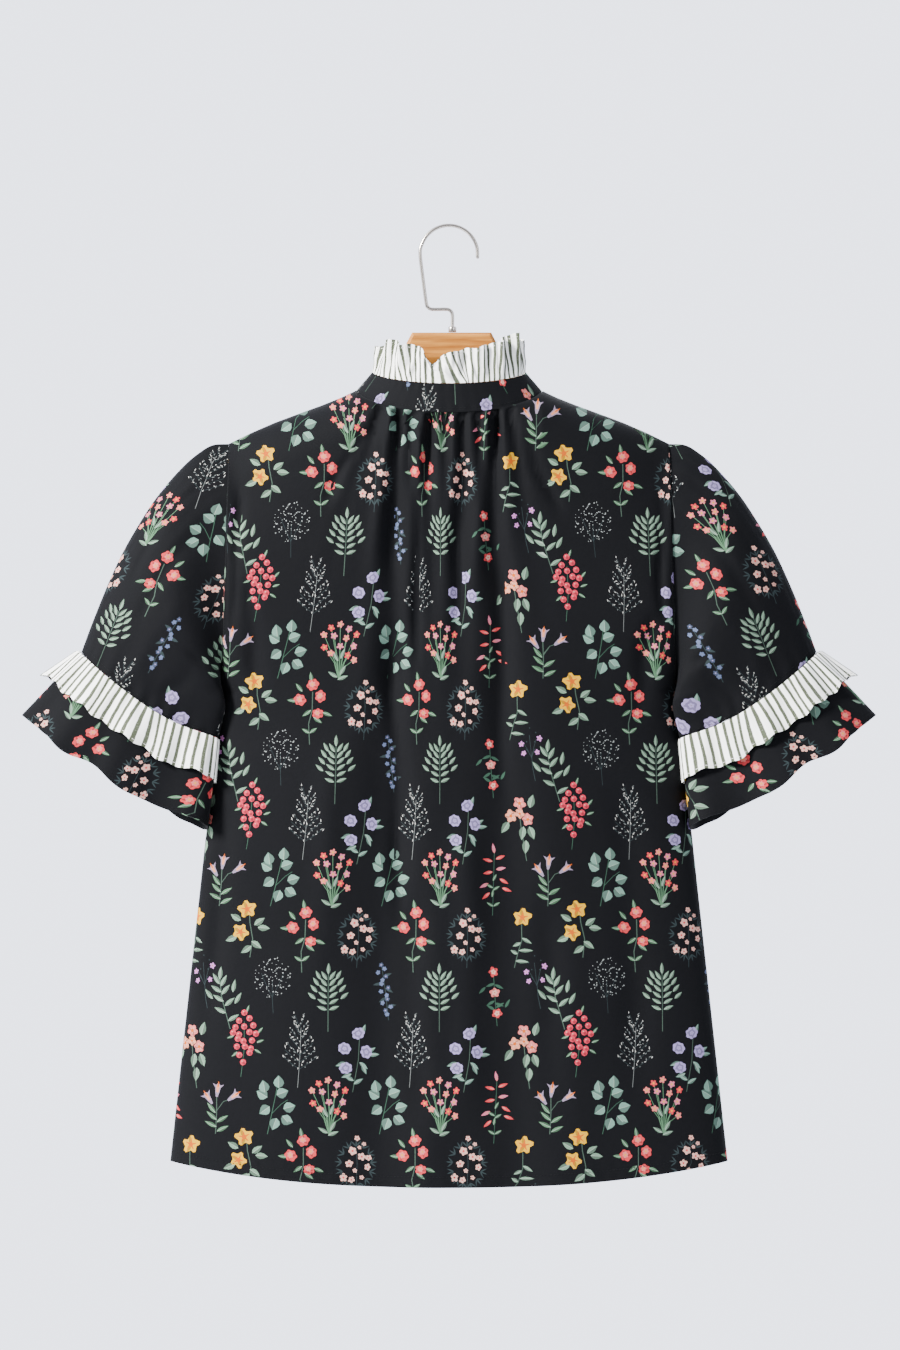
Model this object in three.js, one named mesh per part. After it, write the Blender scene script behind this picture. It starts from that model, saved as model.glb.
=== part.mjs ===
// A short-sleeved blouse hanging on a flat wooden hanger, seen from its back, which faces -Y.
// The body is a gathered back and two overlapping fronts, the neck a stand collar with a frill,
// and each short sleeve ends in a flounce with a narrower striped frill over it.
// Millimetres, +Z up. The origin is the inside top of the hook, where a rail carries the hanger.

import * as THREE from "three";

const { sin, cos, abs, sqrt, pow, exp, sign, min, max, PI, hypot } = Math;
const RIGHT_ANGLE = PI / 2;
const DEGREE = PI / 180;

// Driving sizes, worked out from the photograph at 0.87 mm a pixel.
const CLOTH = 1.5; // wall of every cloth piece
const SEAM = 0.4; // gap between two pieces at a seam
const LAP = CLOTH + SEAM; // how far a piece that lies on another is moved out

const NECK = { half: 80, z: -142, depth: 38 };
const NECK_DROP = { back: 19, front: 82, backCurve: 1.1, frontCurve: 1.5 };
const SHOULDER = { half: 192, z: -189 };
const ARMPIT = { half: 198, z: -403, depth: 25 };
const HEM = { half: 243, sideZ: -814, centreZ: -836 };
const ROOF = 40; // how far below a shoulder seam the cloth takes to reach its full depth
const SIDE_ROUNDNESS = 0.85; // exponent of the section; 1 is an ellipse, less is boxier

// The shoulder seam's height between the neck and the armhole.
const SHOULDER_LINE = [
  { x: 80, z: -142 },
  { x: 94, z: -148.6 },
  { x: 110, z: -155 },
  { x: 130, z: -162.3 },
  { x: 152, z: -170.5 },
  { x: 173, z: -179.6 },
  { x: 192, z: -189 },
];

// Half depth of the hanging body, front to back, at a few heights.
const BODY_DEPTH = [
  { z: -142, depth: 38 },
  { z: -230, depth: 41 },
  { z: -403, depth: 38 },
  { z: -600, depth: 34 },
  { z: -836, depth: 37 },
];

// Gathers run down from the neck seam: where each starts, how far it leans for each millimetre
// down, how deep it is and how far it runs.
const BACK_GATHERS = [
  { x: -58, lean: -0.3, depth: 2.4, run: 60 },
  { x: -45, lean: -0.02, depth: 5.5, run: 330 },
  { x: -32, lean: -0.06, depth: 3.0, run: 70 },
  { x: -16, lean: 0.0, depth: 4.0, run: 190 },
  { x: -2, lean: 0.02, depth: 2.6, run: 60 },
  { x: 13, lean: 0.0, depth: 4.2, run: 150 },
  { x: 26, lean: 0.05, depth: 2.8, run: 70 },
  { x: 39, lean: 0.02, depth: 5.2, run: 260 },
  { x: 52, lean: 0.16, depth: 3.0, run: 90 },
];
const FRONT_GATHERS = [
  { x: 24, lean: 0.03, depth: 3.2, run: 110 },
  { x: 37, lean: 0.08, depth: 4.2, run: 200 },
  { x: 50, lean: 0.14, depth: 2.8, run: 90 },
];
const GATHER = { width: 4.2, widening: 0.045, rise: 5 };

// Long soft folds that reach the hem: positive stands out, negative falls in.
const BACK_FOLDS = [
  { x: -150, height: 2.2, width: 34 },
  { x: -62, height: -3.6, width: 26 },
  { x: -18, height: 2.6, width: 20 },
  { x: 58, height: -3.2, width: 24 },
  { x: 104, height: 2.4, width: 30 },
];
const FRONT_FOLDS = [
  { x: -120, height: 2.6, width: 34 },
  { x: -64, height: -3.2, width: 24 },
  { x: 70, height: -3.4, width: 26 },
  { x: 132, height: 2.4, width: 32 },
];

const PLACKET = { half: 14, ramp: 16 };
const BUTTON = { radius: 5.5, thick: 2.4, holeRadius: 0.9, holeOut: 2.1, gap: 0.35 };
const BUTTON_HEIGHTS = [-262, -352, -442, -532, -622, -712];

const BAND = { topHalf: 67, topDepth: 33, sideTop: -126.6, backTop: -137.5, frontTop: -200 };
const COLLAR_FRILL = { height: 31, waves: 17, swing: 2.6, lean: -4.5, endAngle: 165 };
// Where the frill stands higher or folds over and drops, by angle round the neck from the back.
const FRILL_PEAKS = [
  { angle: -92, rise: -9, spread: 24 },
  { angle: -52, rise: 3.5, spread: 9 },
  { angle: -13, rise: -13, spread: 7 },
  { angle: 2, rise: -5, spread: 9 },
  { angle: 60, rise: 6, spread: 15 },
  { angle: 92, rise: -3, spread: 18 },
];

// The sleeve's outer edge as it hangs, from the shoulder to the cuff seam.
const SLEEVE_EDGE = [
  { x: 192, z: -189 },
  { x: 206, z: -190 },
  { x: 218, z: -197 },
  { x: 231, z: -208 },
  { x: 249, z: -228 },
  { x: 264, z: -249 },
  { x: 283, z: -281 },
  { x: 298, z: -313 },
  { x: 311, z: -345 },
  { x: 320.5, z: -370.5 },
];
const UNDERARM_END = { x: 207.5, z: -448 };
const SLEEVE = { puff: 37, puffAt: 0.42, cuffDepth: 27, seamSag: 6, capGathers: 9, capSwing: 1.5 };
const FLOUNCE = { outer: { x: 51.5, z: -54.5 }, inner: { x: 12, z: -75 }, flare: 9, waves: 8, swing: 3.2 };
const CUFF_FRILL = { share: 0.46, waves: 10, swing: 3.4 };

const HANGER = { thick: 12, bevel: 2.5, underShoulder: 3, offset: 2.3 };
// Outline of the wood from the middle of its top to where an arm meets the shoulder.
const HANGER_NECK = [
  { x: 34.5, z: -92 },
  { x: 39.2, z: -101 },
  { x: 46, z: -116 },
  { x: 57, z: -138 },
  { x: 70, z: -151 },
  { x: 88, z: -155.5 },
  { x: 104, z: -158 },
];
const HANGER_TIP = { x: 178, z: -203 };
const HANGER_UNDER = { x: 0, z: -168 };
const WIRE = { radius: 1.6, arc: 25.1, stemX: 3, kneeX: -19.5, kneeZ: -71.6, bend: 5, sides: 8 };
const FERRULE = { radius: 3.6, bore: 2.1, height: 5 };

const cloth = (color) => new THREE.MeshStandardMaterial({ color, roughness: 0.85, metalness: 0 });
const floralCloth = cloth(0x1c1d21);
const stripedCloth = cloth(0xe8ebe2);
const buttonPlastic = new THREE.MeshStandardMaterial({ color: 0x17181a, roughness: 0.35, metalness: 0 });
const beechWood = new THREE.MeshStandardMaterial({ color: 0xd19a5f, roughness: 0.5, metalness: 0 });
const nickelWire = new THREE.MeshStandardMaterial({ color: 0xbdb6aa, roughness: 0.28, metalness: 1 });

const clamp = (value, low, high) => min(max(value, low), high);
const mix = (a, b, share) => a + (b - a) * share;
const ease = (share) => {
  const t = clamp(share, 0, 1);
  return t * t * (3 - 2 * t);
};
const bump = (distance, width) => exp(-pow(distance / width, 2));
const evenly = (count, low, high) => Array.from({ length: count + 1 }, (_, i) => mix(low, high, i / count));

// A table read between its rows in a straight line: the value of one column where another has
// the place given. The rows are in order of place, up or down.
function tableAt(rows, key, place, value) {
  const step = sign(rows[1][key] - rows[0][key]);
  const found = rows.findIndex((row) => (row[key] - place) * step >= 0);
  const i = found < 0 ? rows.length - 1 : max(found, 1);
  const [a, b] = [rows[i - 1], rows[i]];
  return mix(a[value], b[value], clamp((place - a[key]) / (b[key] - a[key]), 0, 1));
}

// Half width of the body at a height: straight down the armhole, then flared to the hem.
function bodyHalf(z) {
  if (z > ARMPIT.z) {
    const share = clamp((SHOULDER.z - z) / (SHOULDER.z - ARMPIT.z), 0, 1);
    return mix(SHOULDER.half, ARMPIT.half, share);
  }
  return mix(ARMPIT.half, HEM.half, (ARMPIT.z - z) / (ARMPIT.z - HEM.sideZ));
}

// How far the armhole's edge stands from the middle plane: an ellipse from shoulder to armpit.
function armholeDepth(z) {
  const share = clamp((SHOULDER.z - z) / (SHOULDER.z - ARMPIT.z), 0, 1);
  return ARMPIT.depth * sqrt(max(0, 1 - pow(1 - 2 * share, 2)));
}

// Height and depth of a panel's top edge: the neck curve between the shoulder seams.
function topEdge(face, x) {
  const across = abs(x) / NECK.half;
  if (across < 1) {
    const round = sqrt(1 - across * across);
    const back = NECK_DROP.back * pow(round, NECK_DROP.backCurve);
    const front = NECK_DROP.front * pow(round, NECK_DROP.frontCurve);
    return { z: NECK.z - (face < 0 ? back : front), y: NECK.depth * round };
  }
  return { z: tableAt(SHOULDER_LINE, "x", abs(x), "z"), y: 0 };
}

// Depth added by the gathers and folds of one face at a place on it.
function foldsAt(face, x, z, below) {
  const gathers = face < 0 ? BACK_GATHERS : FRONT_GATHERS;
  const folds = face < 0 ? BACK_FOLDS : FRONT_FOLDS;
  const width = GATHER.width + GATHER.widening * below;
  const across = face < 0 ? x : abs(x);
  let depth = 0;
  for (const g of gathers) {
    const fade = exp(-below / g.run) * ease(below / GATHER.rise);
    depth -= g.depth * fade * bump(across - g.x - g.lean * below, width);
  }
  const grown = ease((NECK.z - 60 - z) / 420);
  const spread = bodyHalf(z) / HEM.half;
  for (const f of folds) {
    depth += f.height * grown * bump(x - f.x * spread, f.width);
  }
  return depth;
}

// A point of the body's outer surface. face is -1 for the back and 1 for the front, turn goes
// from -90 degrees at the left side seam to 90 at the right, and down from 0 at the top to 1.
function bodyPoint(face, turn, down) {
  const s = sin(turn);
  const top = topEdge(face, SHOULDER.half * s);
  const hem = mix(HEM.centreZ, HEM.sideZ, pow(abs(s), 2.4));
  const z = mix(top.z, hem, down);
  const below = top.z - z;
  const x = bodyHalf(z) * s;
  const arm = armholeDepth(z);
  const round = pow(max(0, cos(turn)), SIDE_ROUNDNESS);
  const full = arm + (tableAt(BODY_DEPTH, "z", z, "depth") - arm) * round;
  const roof = sqrt(1 - pow(1 - clamp(below / ROOF, 0, 1), 2));
  const y = top.y + (full - top.y) * roof + foldsAt(face, x, z, below) * round;
  return new THREE.Vector3(x, face * y, z);
}

// Directions at right angles to a grid of points, all on the same side of it.
function normalsOf(grid, closed) {
  const rows = grid.length;
  const columns = grid[0].length;
  return grid.map((row, i) =>
    row.map((_, j) => {
      const before = closed ? (j + columns - 1) % columns : max(j - 1, 0);
      const after = closed ? (j + 1) % columns : min(j + 1, columns - 1);
      const across = grid[i][after].clone().sub(grid[i][before]);
      const down = grid[min(i + 1, rows - 1)][j].clone().sub(grid[max(i - 1, 0)][j]);
      return across.cross(down).normalize();
    }),
  );
}

// A closed wall: the outer grid of points, the same points moved inwards, and the rims between.
// outward is 1 or -1, the side of the grid that faces out. square(i, j, normal) may turn a rim's
// direction so that it stands square to its seam. Each grid point is one vertex on each side.
function wall(grid, { closed = false, outward = 1, thick = CLOTH, square = null } = {}) {
  const rows = grid.length;
  const columns = grid[0].length;
  const normals = normalsOf(grid, closed);
  const positions = [];
  const inner = [];
  grid.forEach((row, i) =>
    row.forEach((point, j) => {
      const normal = normals[i][j].multiplyScalar(outward);
      if (square) square(i, j, normal);
      positions.push(...point);
      inner.push(...point.clone().addScaledVector(normal.normalize(), -thick));
    }),
  );
  positions.push(...inner);
  const count = rows * columns;
  const at = (i, j) => i * columns + (j % columns);
  const faces = [];
  const quad = (a, b, c, d) => faces.push(a, b, c, a, c, d);
  const lastColumn = closed ? columns : columns - 1;
  for (let j = 0; j < lastColumn; j++) {
    for (let i = 0; i < rows - 1; i++) {
      quad(at(i, j), at(i, j + 1), at(i + 1, j + 1), at(i + 1, j));
      quad(count + at(i, j), count + at(i + 1, j), count + at(i + 1, j + 1), count + at(i, j + 1));
    }
    const end = rows - 1;
    quad(at(0, j + 1), at(0, j), count + at(0, j), count + at(0, j + 1));
    quad(at(end, j), at(end, j + 1), count + at(end, j + 1), count + at(end, j));
  }
  if (!closed) {
    const end = columns - 1;
    for (let i = 0; i < rows - 1; i++) {
      quad(at(i, 0), at(i + 1, 0), count + at(i + 1, 0), count + at(i, 0));
      quad(at(i + 1, end), at(i, end), count + at(i, end), count + at(i + 1, end));
    }
  }
  if (outward < 0) {
    for (let k = 0; k < faces.length; k += 3) [faces[k + 1], faces[k + 2]] = [faces[k + 2], faces[k + 1]];
  }
  const geometry = new THREE.BufferGeometry();
  geometry.setAttribute("position", new THREE.Float32BufferAttribute(positions, 3));
  geometry.setIndex(faces);
  geometry.computeVertexNormals();
  return geometry;
}

function named(name, geometry, material) {
  const mesh = new THREE.Mesh(geometry, material);
  mesh.name = name;
  return mesh;
}

// Shares down a panel, close together under the shoulder seam where the cloth turns over.
const PANEL_ROWS = [0, 0.006, 0.018, 0.036, 0.06, 0.1, 0.16, 0.24, 0.342, 0.45, 0.57, 0.7, 0.85, 1];

// The collar's columns, as angles round the neck from the middle of the back to one side, and
// places across a panel, measured at shoulder width, that meet them.
const COLLAR_QUARTER = [...evenly(17, 3, 54), ...evenly(5, 60, 90)].map((angle) => angle * DEGREE);
const BESIDE_NECK = [94, 110, 130, 149, 165, 178, 187, 192];
const mirrored = (places) => places.map((place) => -place).reverse();
const HALF_ACROSS = [...COLLAR_QUARTER.map((angle) => NECK.half * sin(angle)), ...BESIDE_NECK];
const ACROSS = [...mirrored(HALF_ACROSS), 0, ...HALF_ACROSS];
const FRONT_ACROSS = [...ACROSS.filter((x) => x < -PLACKET.half), ...evenly(4, -PLACKET.half, PLACKET.half)];
const turnsAcross = (places) => places.map((x) => Math.asin(x / SHOULDER.half));

// One body panel. shift(x) moves it inwards where it lies under its neighbour.
function bodyPanel(name, face, turns, shift = () => 0) {
  const lastRow = PANEL_ROWS.length - 1;
  const lastColumn = turns.length - 1;
  const onSeam = (j) => abs(turns[j]) > RIGHT_ANGLE - 1e-4;
  const grid = PANEL_ROWS.map((down) =>
    turns.map((turn) => {
      const point = bodyPoint(face, turn, down);
      point.y -= face * shift(point.x);
      if (abs(point.y) < SEAM / 2) point.y = (face * SEAM) / 2;
      return point;
    }),
  );
  const square = (i, j, normal) => {
    const shoulderSeam = i === 0 && abs(grid[0][j].y) < SEAM;
    const sideSeam = (j === 0 || j === lastColumn) && onSeam(j);
    if (shoulderSeam) normal.set(0, 0, 1);
    else if (sideSeam && grid[i][j].z < ARMPIT.z + 1) normal.set(sign(turns[j]), 0, 0);
    else if (sideSeam) normal.set(0, face, 0);
    else if (i === 0) normal.z = max(normal.z, 0);
    else if (i === lastRow) normal.z = 0;
  };
  return named(name, wall(grid, { outward: face, square }), floralCloth);
}

// The seam's gap measured upright, more where the seam runs steeply at the sides of the front.
const uprightGap = (angle) => SEAM * (1.2 + clamp(0.4 - 4 * cos(angle), 0, 1.4));

// Collar ring: angle 0 is the middle of the back, 90 degrees the right side, 180 the front.
function collarPoint(angle, up) {
  const c = cos(angle);
  const foot = topEdge(c > 0 ? -1 : 1, NECK.half * sin(angle)).z;
  const topMiddle = c > 0 ? BAND.backTop : BAND.frontTop;
  const top = mix(BAND.sideTop, topMiddle, pow(abs(c), c > 0 ? 1.2 : 0.95));
  return new THREE.Vector3(
    mix(NECK.half, BAND.topHalf, up) * sin(angle),
    -mix(NECK.depth, BAND.topDepth, up) * c,
    mix(foot + uprightGap(angle), top, up),
  );
}

// Moves the end of the band that lies under the other end inwards at the front.
function underlap(point, angle) {
  const share = ease((-165 * DEGREE - angle) / (12 * DEGREE));
  point.y -= LAP * share;
  return point;
}

// Columns all round the neck, from the overlap's left end to its right end.
function collarAngles() {
  const lap = evenly(3, 0, Math.asin(PLACKET.half / NECK.half)).slice(1);
  const front = COLLAR_QUARTER.slice(0, -1).map((angle) => PI - angle);
  const right = [...COLLAR_QUARTER, ...front.reverse(), PI, ...lap.map((angle) => PI + angle)];
  return [...mirrored(right), 0, ...right];
}

function collarBand() {
  const angles = collarAngles();
  const grid = [1, 0].map((up) => angles.map((angle) => underlap(collarPoint(angle, up), angle)));
  const square = (i, j, normal) => {
    normal.z = 0;
  };
  return named("collar_band", wall(grid, { outward: -1, square }), floralCloth);
}

// The frill stands on the band's top edge and waves more the higher it goes.
function collarFrill() {
  const end = COLLAR_FRILL.endAngle * DEGREE;
  const angles = evenly((2 * COLLAR_FRILL.endAngle) / 3, -end, end);
  const levels = [1, 0.5, 0];
  const grid = levels.map((up) =>
    angles.map((angle) => {
      const seat = collarPoint(angle, 1);
      const out = new THREE.Vector3(seat.x / BAND.topHalf, seat.y / BAND.topDepth, 0).normalize();
      let rise = COLLAR_FRILL.height;
      for (const peak of FRILL_PEAKS) rise += peak.rise * bump(angle / DEGREE - peak.angle, peak.spread);
      const phase = COLLAR_FRILL.waves * angle;
      const wave = sin(phase + 0.8) + 0.45 * sin(0.55 * phase + 2.1);
      seat.z += 1.3 * uprightGap(angle) + rise * up;
      return seat.addScaledVector(out, COLLAR_FRILL.swing * pow(up, 1.1) * wave + COLLAR_FRILL.lean * up);
    }),
  );
  const square = (i, j, normal) => {
    if (i === levels.length - 1) normal.z = 0;
  };
  return named("collar_frill", wall(grid, { outward: -1, square }), stripedCloth);
}

const sleeveEdge = new THREE.CatmullRomCurve3(SLEEVE_EDGE.map((p) => new THREE.Vector3(p.x, 0, p.z)));

// A point of the right sleeve. turn goes round the tube from 0 at the outer edge through the
// back and the underarm, and along goes from 0 at the armhole to 1 at the cuff seam.
function sleevePoint(turn, along) {
  const outer = sleeveEdge.getPointAt(along);
  const armpit = new THREE.Vector3(ARMPIT.half, 0, ARMPIT.z);
  const inner = armpit.lerp(new THREE.Vector3(UNDERARM_END.x, 0, UNDERARM_END.z), along);
  const share = (1 - cos(turn)) / 2;
  const point = outer.clone().lerp(inner, share);
  const puff = SLEEVE.puff - ARMPIT.depth;
  const swell = along < SLEEVE.puffAt ? ease(along / SLEEVE.puffAt) : 1;
  const settle = ease((along - SLEEVE.puffAt) / (1 - SLEEVE.puffAt));
  const depth = mix(ARMPIT.depth + puff * swell, SLEEVE.cuffDepth, settle);
  const gathered = pow(max(0, cos(turn)), 2) * exp(-along / 0.25) * ease(along / 0.06);
  const swing = SLEEVE.capSwing * gathered * cos(SLEEVE.capGathers * 2 * turn);
  point.y = -(depth + swing) * sin(turn);
  const sag = SLEEVE.seamSag * pow(sin(turn), 2) * ease(along);
  point.x += sag * 0.5;
  point.z -= sag * 0.85;
  const roof = sqrt(1 - pow(1 - clamp((SHOULDER.z - point.z) / ROOF, 0, 1), 2));
  if (along < 0.5) point.y *= mix(roof, 1, ease(along / 0.5));
  point.x += along === 0 ? SEAM : SEAM * (1 - along);
  return point;
}

// Direction away from the cuff's middle at an angle round it.
function cuffOutward(turn) {
  const outer = SLEEVE_EDGE.at(-1);
  const across = new THREE.Vector3(outer.x - UNDERARM_END.x, 0, outer.z - UNDERARM_END.z);
  const half = across.length() / 2;
  const along = across.normalize().multiplyScalar(cos(turn) * SLEEVE.cuffDepth);
  return along.add(new THREE.Vector3(0, -sin(turn) * half, 0)).normalize();
}

// A point of the right flounce, from 0 at the cuff seam to 1 at its hem.
function flouncePoint(turn, fall) {
  const point = sleevePoint(turn, 1);
  const share = (1 - cos(turn)) / 2;
  const length = SEAM / hypot(FLOUNCE.inner.x, FLOUNCE.inner.z) + fall;
  point.x += mix(FLOUNCE.outer.x, FLOUNCE.inner.x, share) * length;
  point.z += mix(FLOUNCE.outer.z, FLOUNCE.inner.z, share) * length;
  point.y -= FLOUNCE.flare * sin(turn) * fall;
  const wave = sin(FLOUNCE.waves * turn + 0.6) + 0.4 * sin((FLOUNCE.waves - 3) * turn + 1.9);
  return point.addScaledVector(cuffOutward(turn), FLOUNCE.swing * pow(fall, 1.3) * wave * abs(sin(turn)));
}

// A point of the striped frill: the flounce's own point, moved out, with waves of its own.
function cuffFrillPoint(turn, fall) {
  const under = flouncePoint(turn, fall * CUFF_FRILL.share);
  const wave = 0.5 + 0.5 * sin(CUFF_FRILL.waves * turn + 1.1);
  const free = 1 - bump(turn - PI, 0.5);
  const lift = LAP + 0.2 + (0.3 + CUFF_FRILL.swing * fall * wave) * free;
  return under.addScaledVector(cuffOutward(turn), lift);
}

// A tube made from a point function and mirrored for the left side.
function ringWall(name, side, pointAt, around, levels, material, square = null) {
  const turns = evenly(around, 0, 2 * PI).slice(0, -1);
  const grid = levels.map((level) =>
    turns.map((turn) => {
      const point = pointAt(turn, level);
      point.x *= side;
      return point;
    }),
  );
  return named(name, wall(grid, { closed: true, outward: side, square }), material);
}

function sleeve(name, side) {
  const levels = [0, 0.05, 0.13, 0.24, 0.38, 0.54, 0.7, 0.86, 1];
  const square = (i, j, normal) => {
    if (i === 0) normal.x = 0;
  };
  return ringWall(name, side, sleevePoint, 28, levels, floralCloth, square);
}

const flounce = (name, side) => ringWall(name, side, flouncePoint, 52, evenly(3, 0, 1), floralCloth);
const cuffFrill = (name, side) => ringWall(name, side, cuffFrillPoint, 52, evenly(3, 0, 1), stripedCloth);

// The under front lies a wall's thickness behind the over front past the middle.
const underFront = (x) => LAP * ease((x + PLACKET.half + PLACKET.ramp + 4) / PLACKET.ramp);

function placketPoint(x, down) {
  const point = bodyPoint(1, x / SHOULDER.half, down);
  return point.setX(x).setY(point.y + LAP);
}

function placket() {
  const places = evenly(2, -PLACKET.half + SEAM, PLACKET.half - SEAM);
  const grid = PANEL_ROWS.map((down) => places.map((x) => placketPoint(x, down)));
  const square = (i, j, normal) => normal.set(0, 1, 0);
  return named("placket", wall(grid, { outward: 1, square }), floralCloth);
}

// A round button with four holes, standing off whatever it is sewn to.
function button(name, seat, tilt) {
  const spoke = (length, angle) => new THREE.Vector2(length * cos(angle), length * sin(angle));
  const circle = (count, radius, middle) =>
    evenly(count, 0, 2 * PI)
      .slice(0, -1)
      .map((angle) => spoke(radius, angle).add(middle));
  const outline = new THREE.Shape(circle(14, BUTTON.radius, spoke(0, 0)));
  for (const angle of [45, 135, 225, 315]) {
    const middle = spoke(BUTTON.holeOut, angle * DEGREE);
    outline.holes.push(new THREE.Path(circle(5, BUTTON.holeRadius, middle)));
  }
  const geometry = new THREE.ExtrudeGeometry(outline, { depth: BUTTON.thick, bevelEnabled: false });
  const mesh = named(name, geometry, buttonPlastic);
  mesh.rotation.set(-RIGHT_ANGLE + tilt, 0, 0);
  mesh.position.copy(seat);
  return mesh;
}

function buttons() {
  const made = [];
  const onBand = collarPoint(PI, 0.5);
  onBand.y += BUTTON.gap;
  const bandLean = Math.atan2(NECK.depth - BAND.topDepth, BAND.frontTop - NECK.z + NECK_DROP.front);
  made.push(button("button_1", onBand, bandLean));
  const rows = PANEL_ROWS.map((down) => placketPoint(0, down));
  BUTTON_HEIGHTS.forEach((z, i) => {
    const next = rows.findIndex((point) => point.z < z - BUTTON.radius);
    const [above, below] = [rows[next - 1], rows[next]];
    const seat = above.clone().lerp(below, (above.z - z) / (above.z - below.z));
    seat.y += BUTTON.gap;
    made.push(button(`button_${i + 2}`, seat, Math.atan2(below.y - above.y, above.z - below.z)));
  });
  return made;
}

function hangerWood() {
  const arm = evenly(4, 120, HANGER_TIP.x - 6).map((x, i) => ({
    x,
    z: topEdge(-1, x).z - HANGER.underShoulder - 0.16 * i * i,
  }));
  const outline = [...HANGER_NECK, ...arm, { x: HANGER_TIP.x, z: arm.at(-1).z - 6 }, HANGER_TIP];
  const under = evenly(4, HANGER_TIP.x - 14, 40).map((x) => ({
    x,
    z: mix(HANGER_UNDER.z, HANGER_TIP.z - 3, pow(x / HANGER_TIP.x, 1.5)),
  }));
  const right = [...outline, ...under];
  const points = [...right, HANGER_UNDER, ...right.map((p) => ({ x: -p.x, z: p.z })).reverse()];
  for (const p of points) p.x += p.z > HANGER_NECK[3].z ? HANGER.offset : 0;
  const inset = HANGER.bevel;
  const shape = new THREE.Shape(points.map((p) => new THREE.Vector2(p.x, p.z)));
  const geometry = new THREE.ExtrudeGeometry(shape, {
    depth: HANGER.thick - 2 * inset,
    bevelEnabled: true,
    bevelSize: inset,
    bevelOffset: -inset,
    bevelThickness: inset,
    bevelSegments: 1,
  });
  const mesh = named("hanger_wood", geometry, beechWood);
  mesh.rotation.x = RIGHT_ANGLE;
  mesh.position.y = HANGER.thick / 2 - inset;
  return mesh;
}

// The wire leaves the wood upright, steps to the left, rises and bends over into the hook.
function hookWire() {
  const centreZ = WIRE.radius - WIRE.arc;
  const path = [
    [WIRE.stemX, HANGER_NECK[0].z + SEAM],
    [WIRE.stemX, HANGER_NECK[0].z + FERRULE.height + SEAM],
    [WIRE.stemX, WIRE.kneeZ - WIRE.bend],
    [WIRE.stemX - WIRE.bend * 0.3, WIRE.kneeZ - WIRE.bend * 0.3],
    [WIRE.stemX - WIRE.bend, WIRE.kneeZ],
    [WIRE.kneeX + WIRE.bend, WIRE.kneeZ],
    [WIRE.kneeX + WIRE.bend * 0.3, WIRE.kneeZ + WIRE.bend * 0.3],
    [WIRE.kneeX - 0.2, WIRE.kneeZ + WIRE.bend],
    [mix(WIRE.kneeX, -WIRE.arc, 0.5), mix(WIRE.kneeZ, centreZ, 0.5)],
  ];
  for (const angle of evenly(9, 180, -6)) {
    path.push([WIRE.arc * cos(angle * DEGREE), centreZ + WIRE.arc * sin(angle * DEGREE)]);
  }
  const curve = new THREE.CatmullRomCurve3(path.map(([x, z]) => new THREE.Vector3(x, 0, z)));
  const section = new THREE.Shape().absarc(0, 0, WIRE.radius, 0, 2 * PI);
  const geometry = new THREE.ExtrudeGeometry(section, {
    steps: 40,
    extrudePath: curve,
    curveSegments: WIRE.sides / 2,
  });
  return named("hook_wire", geometry, nickelWire);
}

function ferrule() {
  const foot = HANGER_NECK[0].z + SEAM;
  const top = foot + FERRULE.height;
  const profile = [
    [FERRULE.bore, foot],
    [FERRULE.radius, foot],
    [FERRULE.radius, top - 1],
    [FERRULE.radius - 0.8, top],
    [FERRULE.bore, top],
    [FERRULE.bore, foot],
  ];
  const geometry = new THREE.LatheGeometry(
    profile.map(([r, z]) => new THREE.Vector2(r, z)),
    12,
  );
  const mesh = named("hook_ferrule", geometry, nickelWire);
  mesh.rotation.x = RIGHT_ANGLE;
  mesh.position.x = WIRE.stemX;
  return mesh;
}

const blouse = new THREE.Group();
blouse.add(
  bodyPanel("back", -1, turnsAcross(ACROSS)),
  bodyPanel("front_right", 1, turnsAcross(mirrored(FRONT_ACROSS))),
  bodyPanel("front_left", 1, turnsAcross(FRONT_ACROSS), underFront),
  placket(),
  collarBand(),
  collarFrill(),
  sleeve("sleeve_left", -1),
  sleeve("sleeve_right", 1),
  flounce("flounce_left", -1),
  flounce("flounce_right", 1),
  cuffFrill("cuff_frill_left", -1),
  cuffFrill("cuff_frill_right", 1),
  ...buttons(),
  hangerWood(),
  hookWire(),
  ferrule(),
);

export default blouse;
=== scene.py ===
"""Looks of a short-sleeved blouse on a wooden hanger, over its CAD frame.

The back of the blouse faces -Y and the camera. Lengths in this file are millimetres until a
mesh is made, and every object is in metres. +X is to the right of the back and +Z is up.
"""

import math

import bpy
import numpy as np
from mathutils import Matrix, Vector
from mathutils.geometry import delaunay_2d_cdt


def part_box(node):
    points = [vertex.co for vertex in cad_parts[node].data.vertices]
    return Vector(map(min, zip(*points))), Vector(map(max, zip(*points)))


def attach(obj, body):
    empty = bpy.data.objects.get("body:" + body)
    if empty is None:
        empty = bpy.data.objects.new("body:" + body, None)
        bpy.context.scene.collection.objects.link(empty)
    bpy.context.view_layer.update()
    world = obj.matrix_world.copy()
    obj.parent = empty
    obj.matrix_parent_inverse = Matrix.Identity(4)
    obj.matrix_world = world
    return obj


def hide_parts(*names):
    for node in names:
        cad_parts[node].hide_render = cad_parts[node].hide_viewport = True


bl_info = {
    "name": "Blouse on a hanger",
    "version": (1, 0, 0),
    "blender": (4, 5, 0),
    "location": "3D View > Sidebar > Blouse",
    "description": "Builds a printed blouse with striped frills on a wooden hanger",
    "category": "Object",
}

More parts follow.
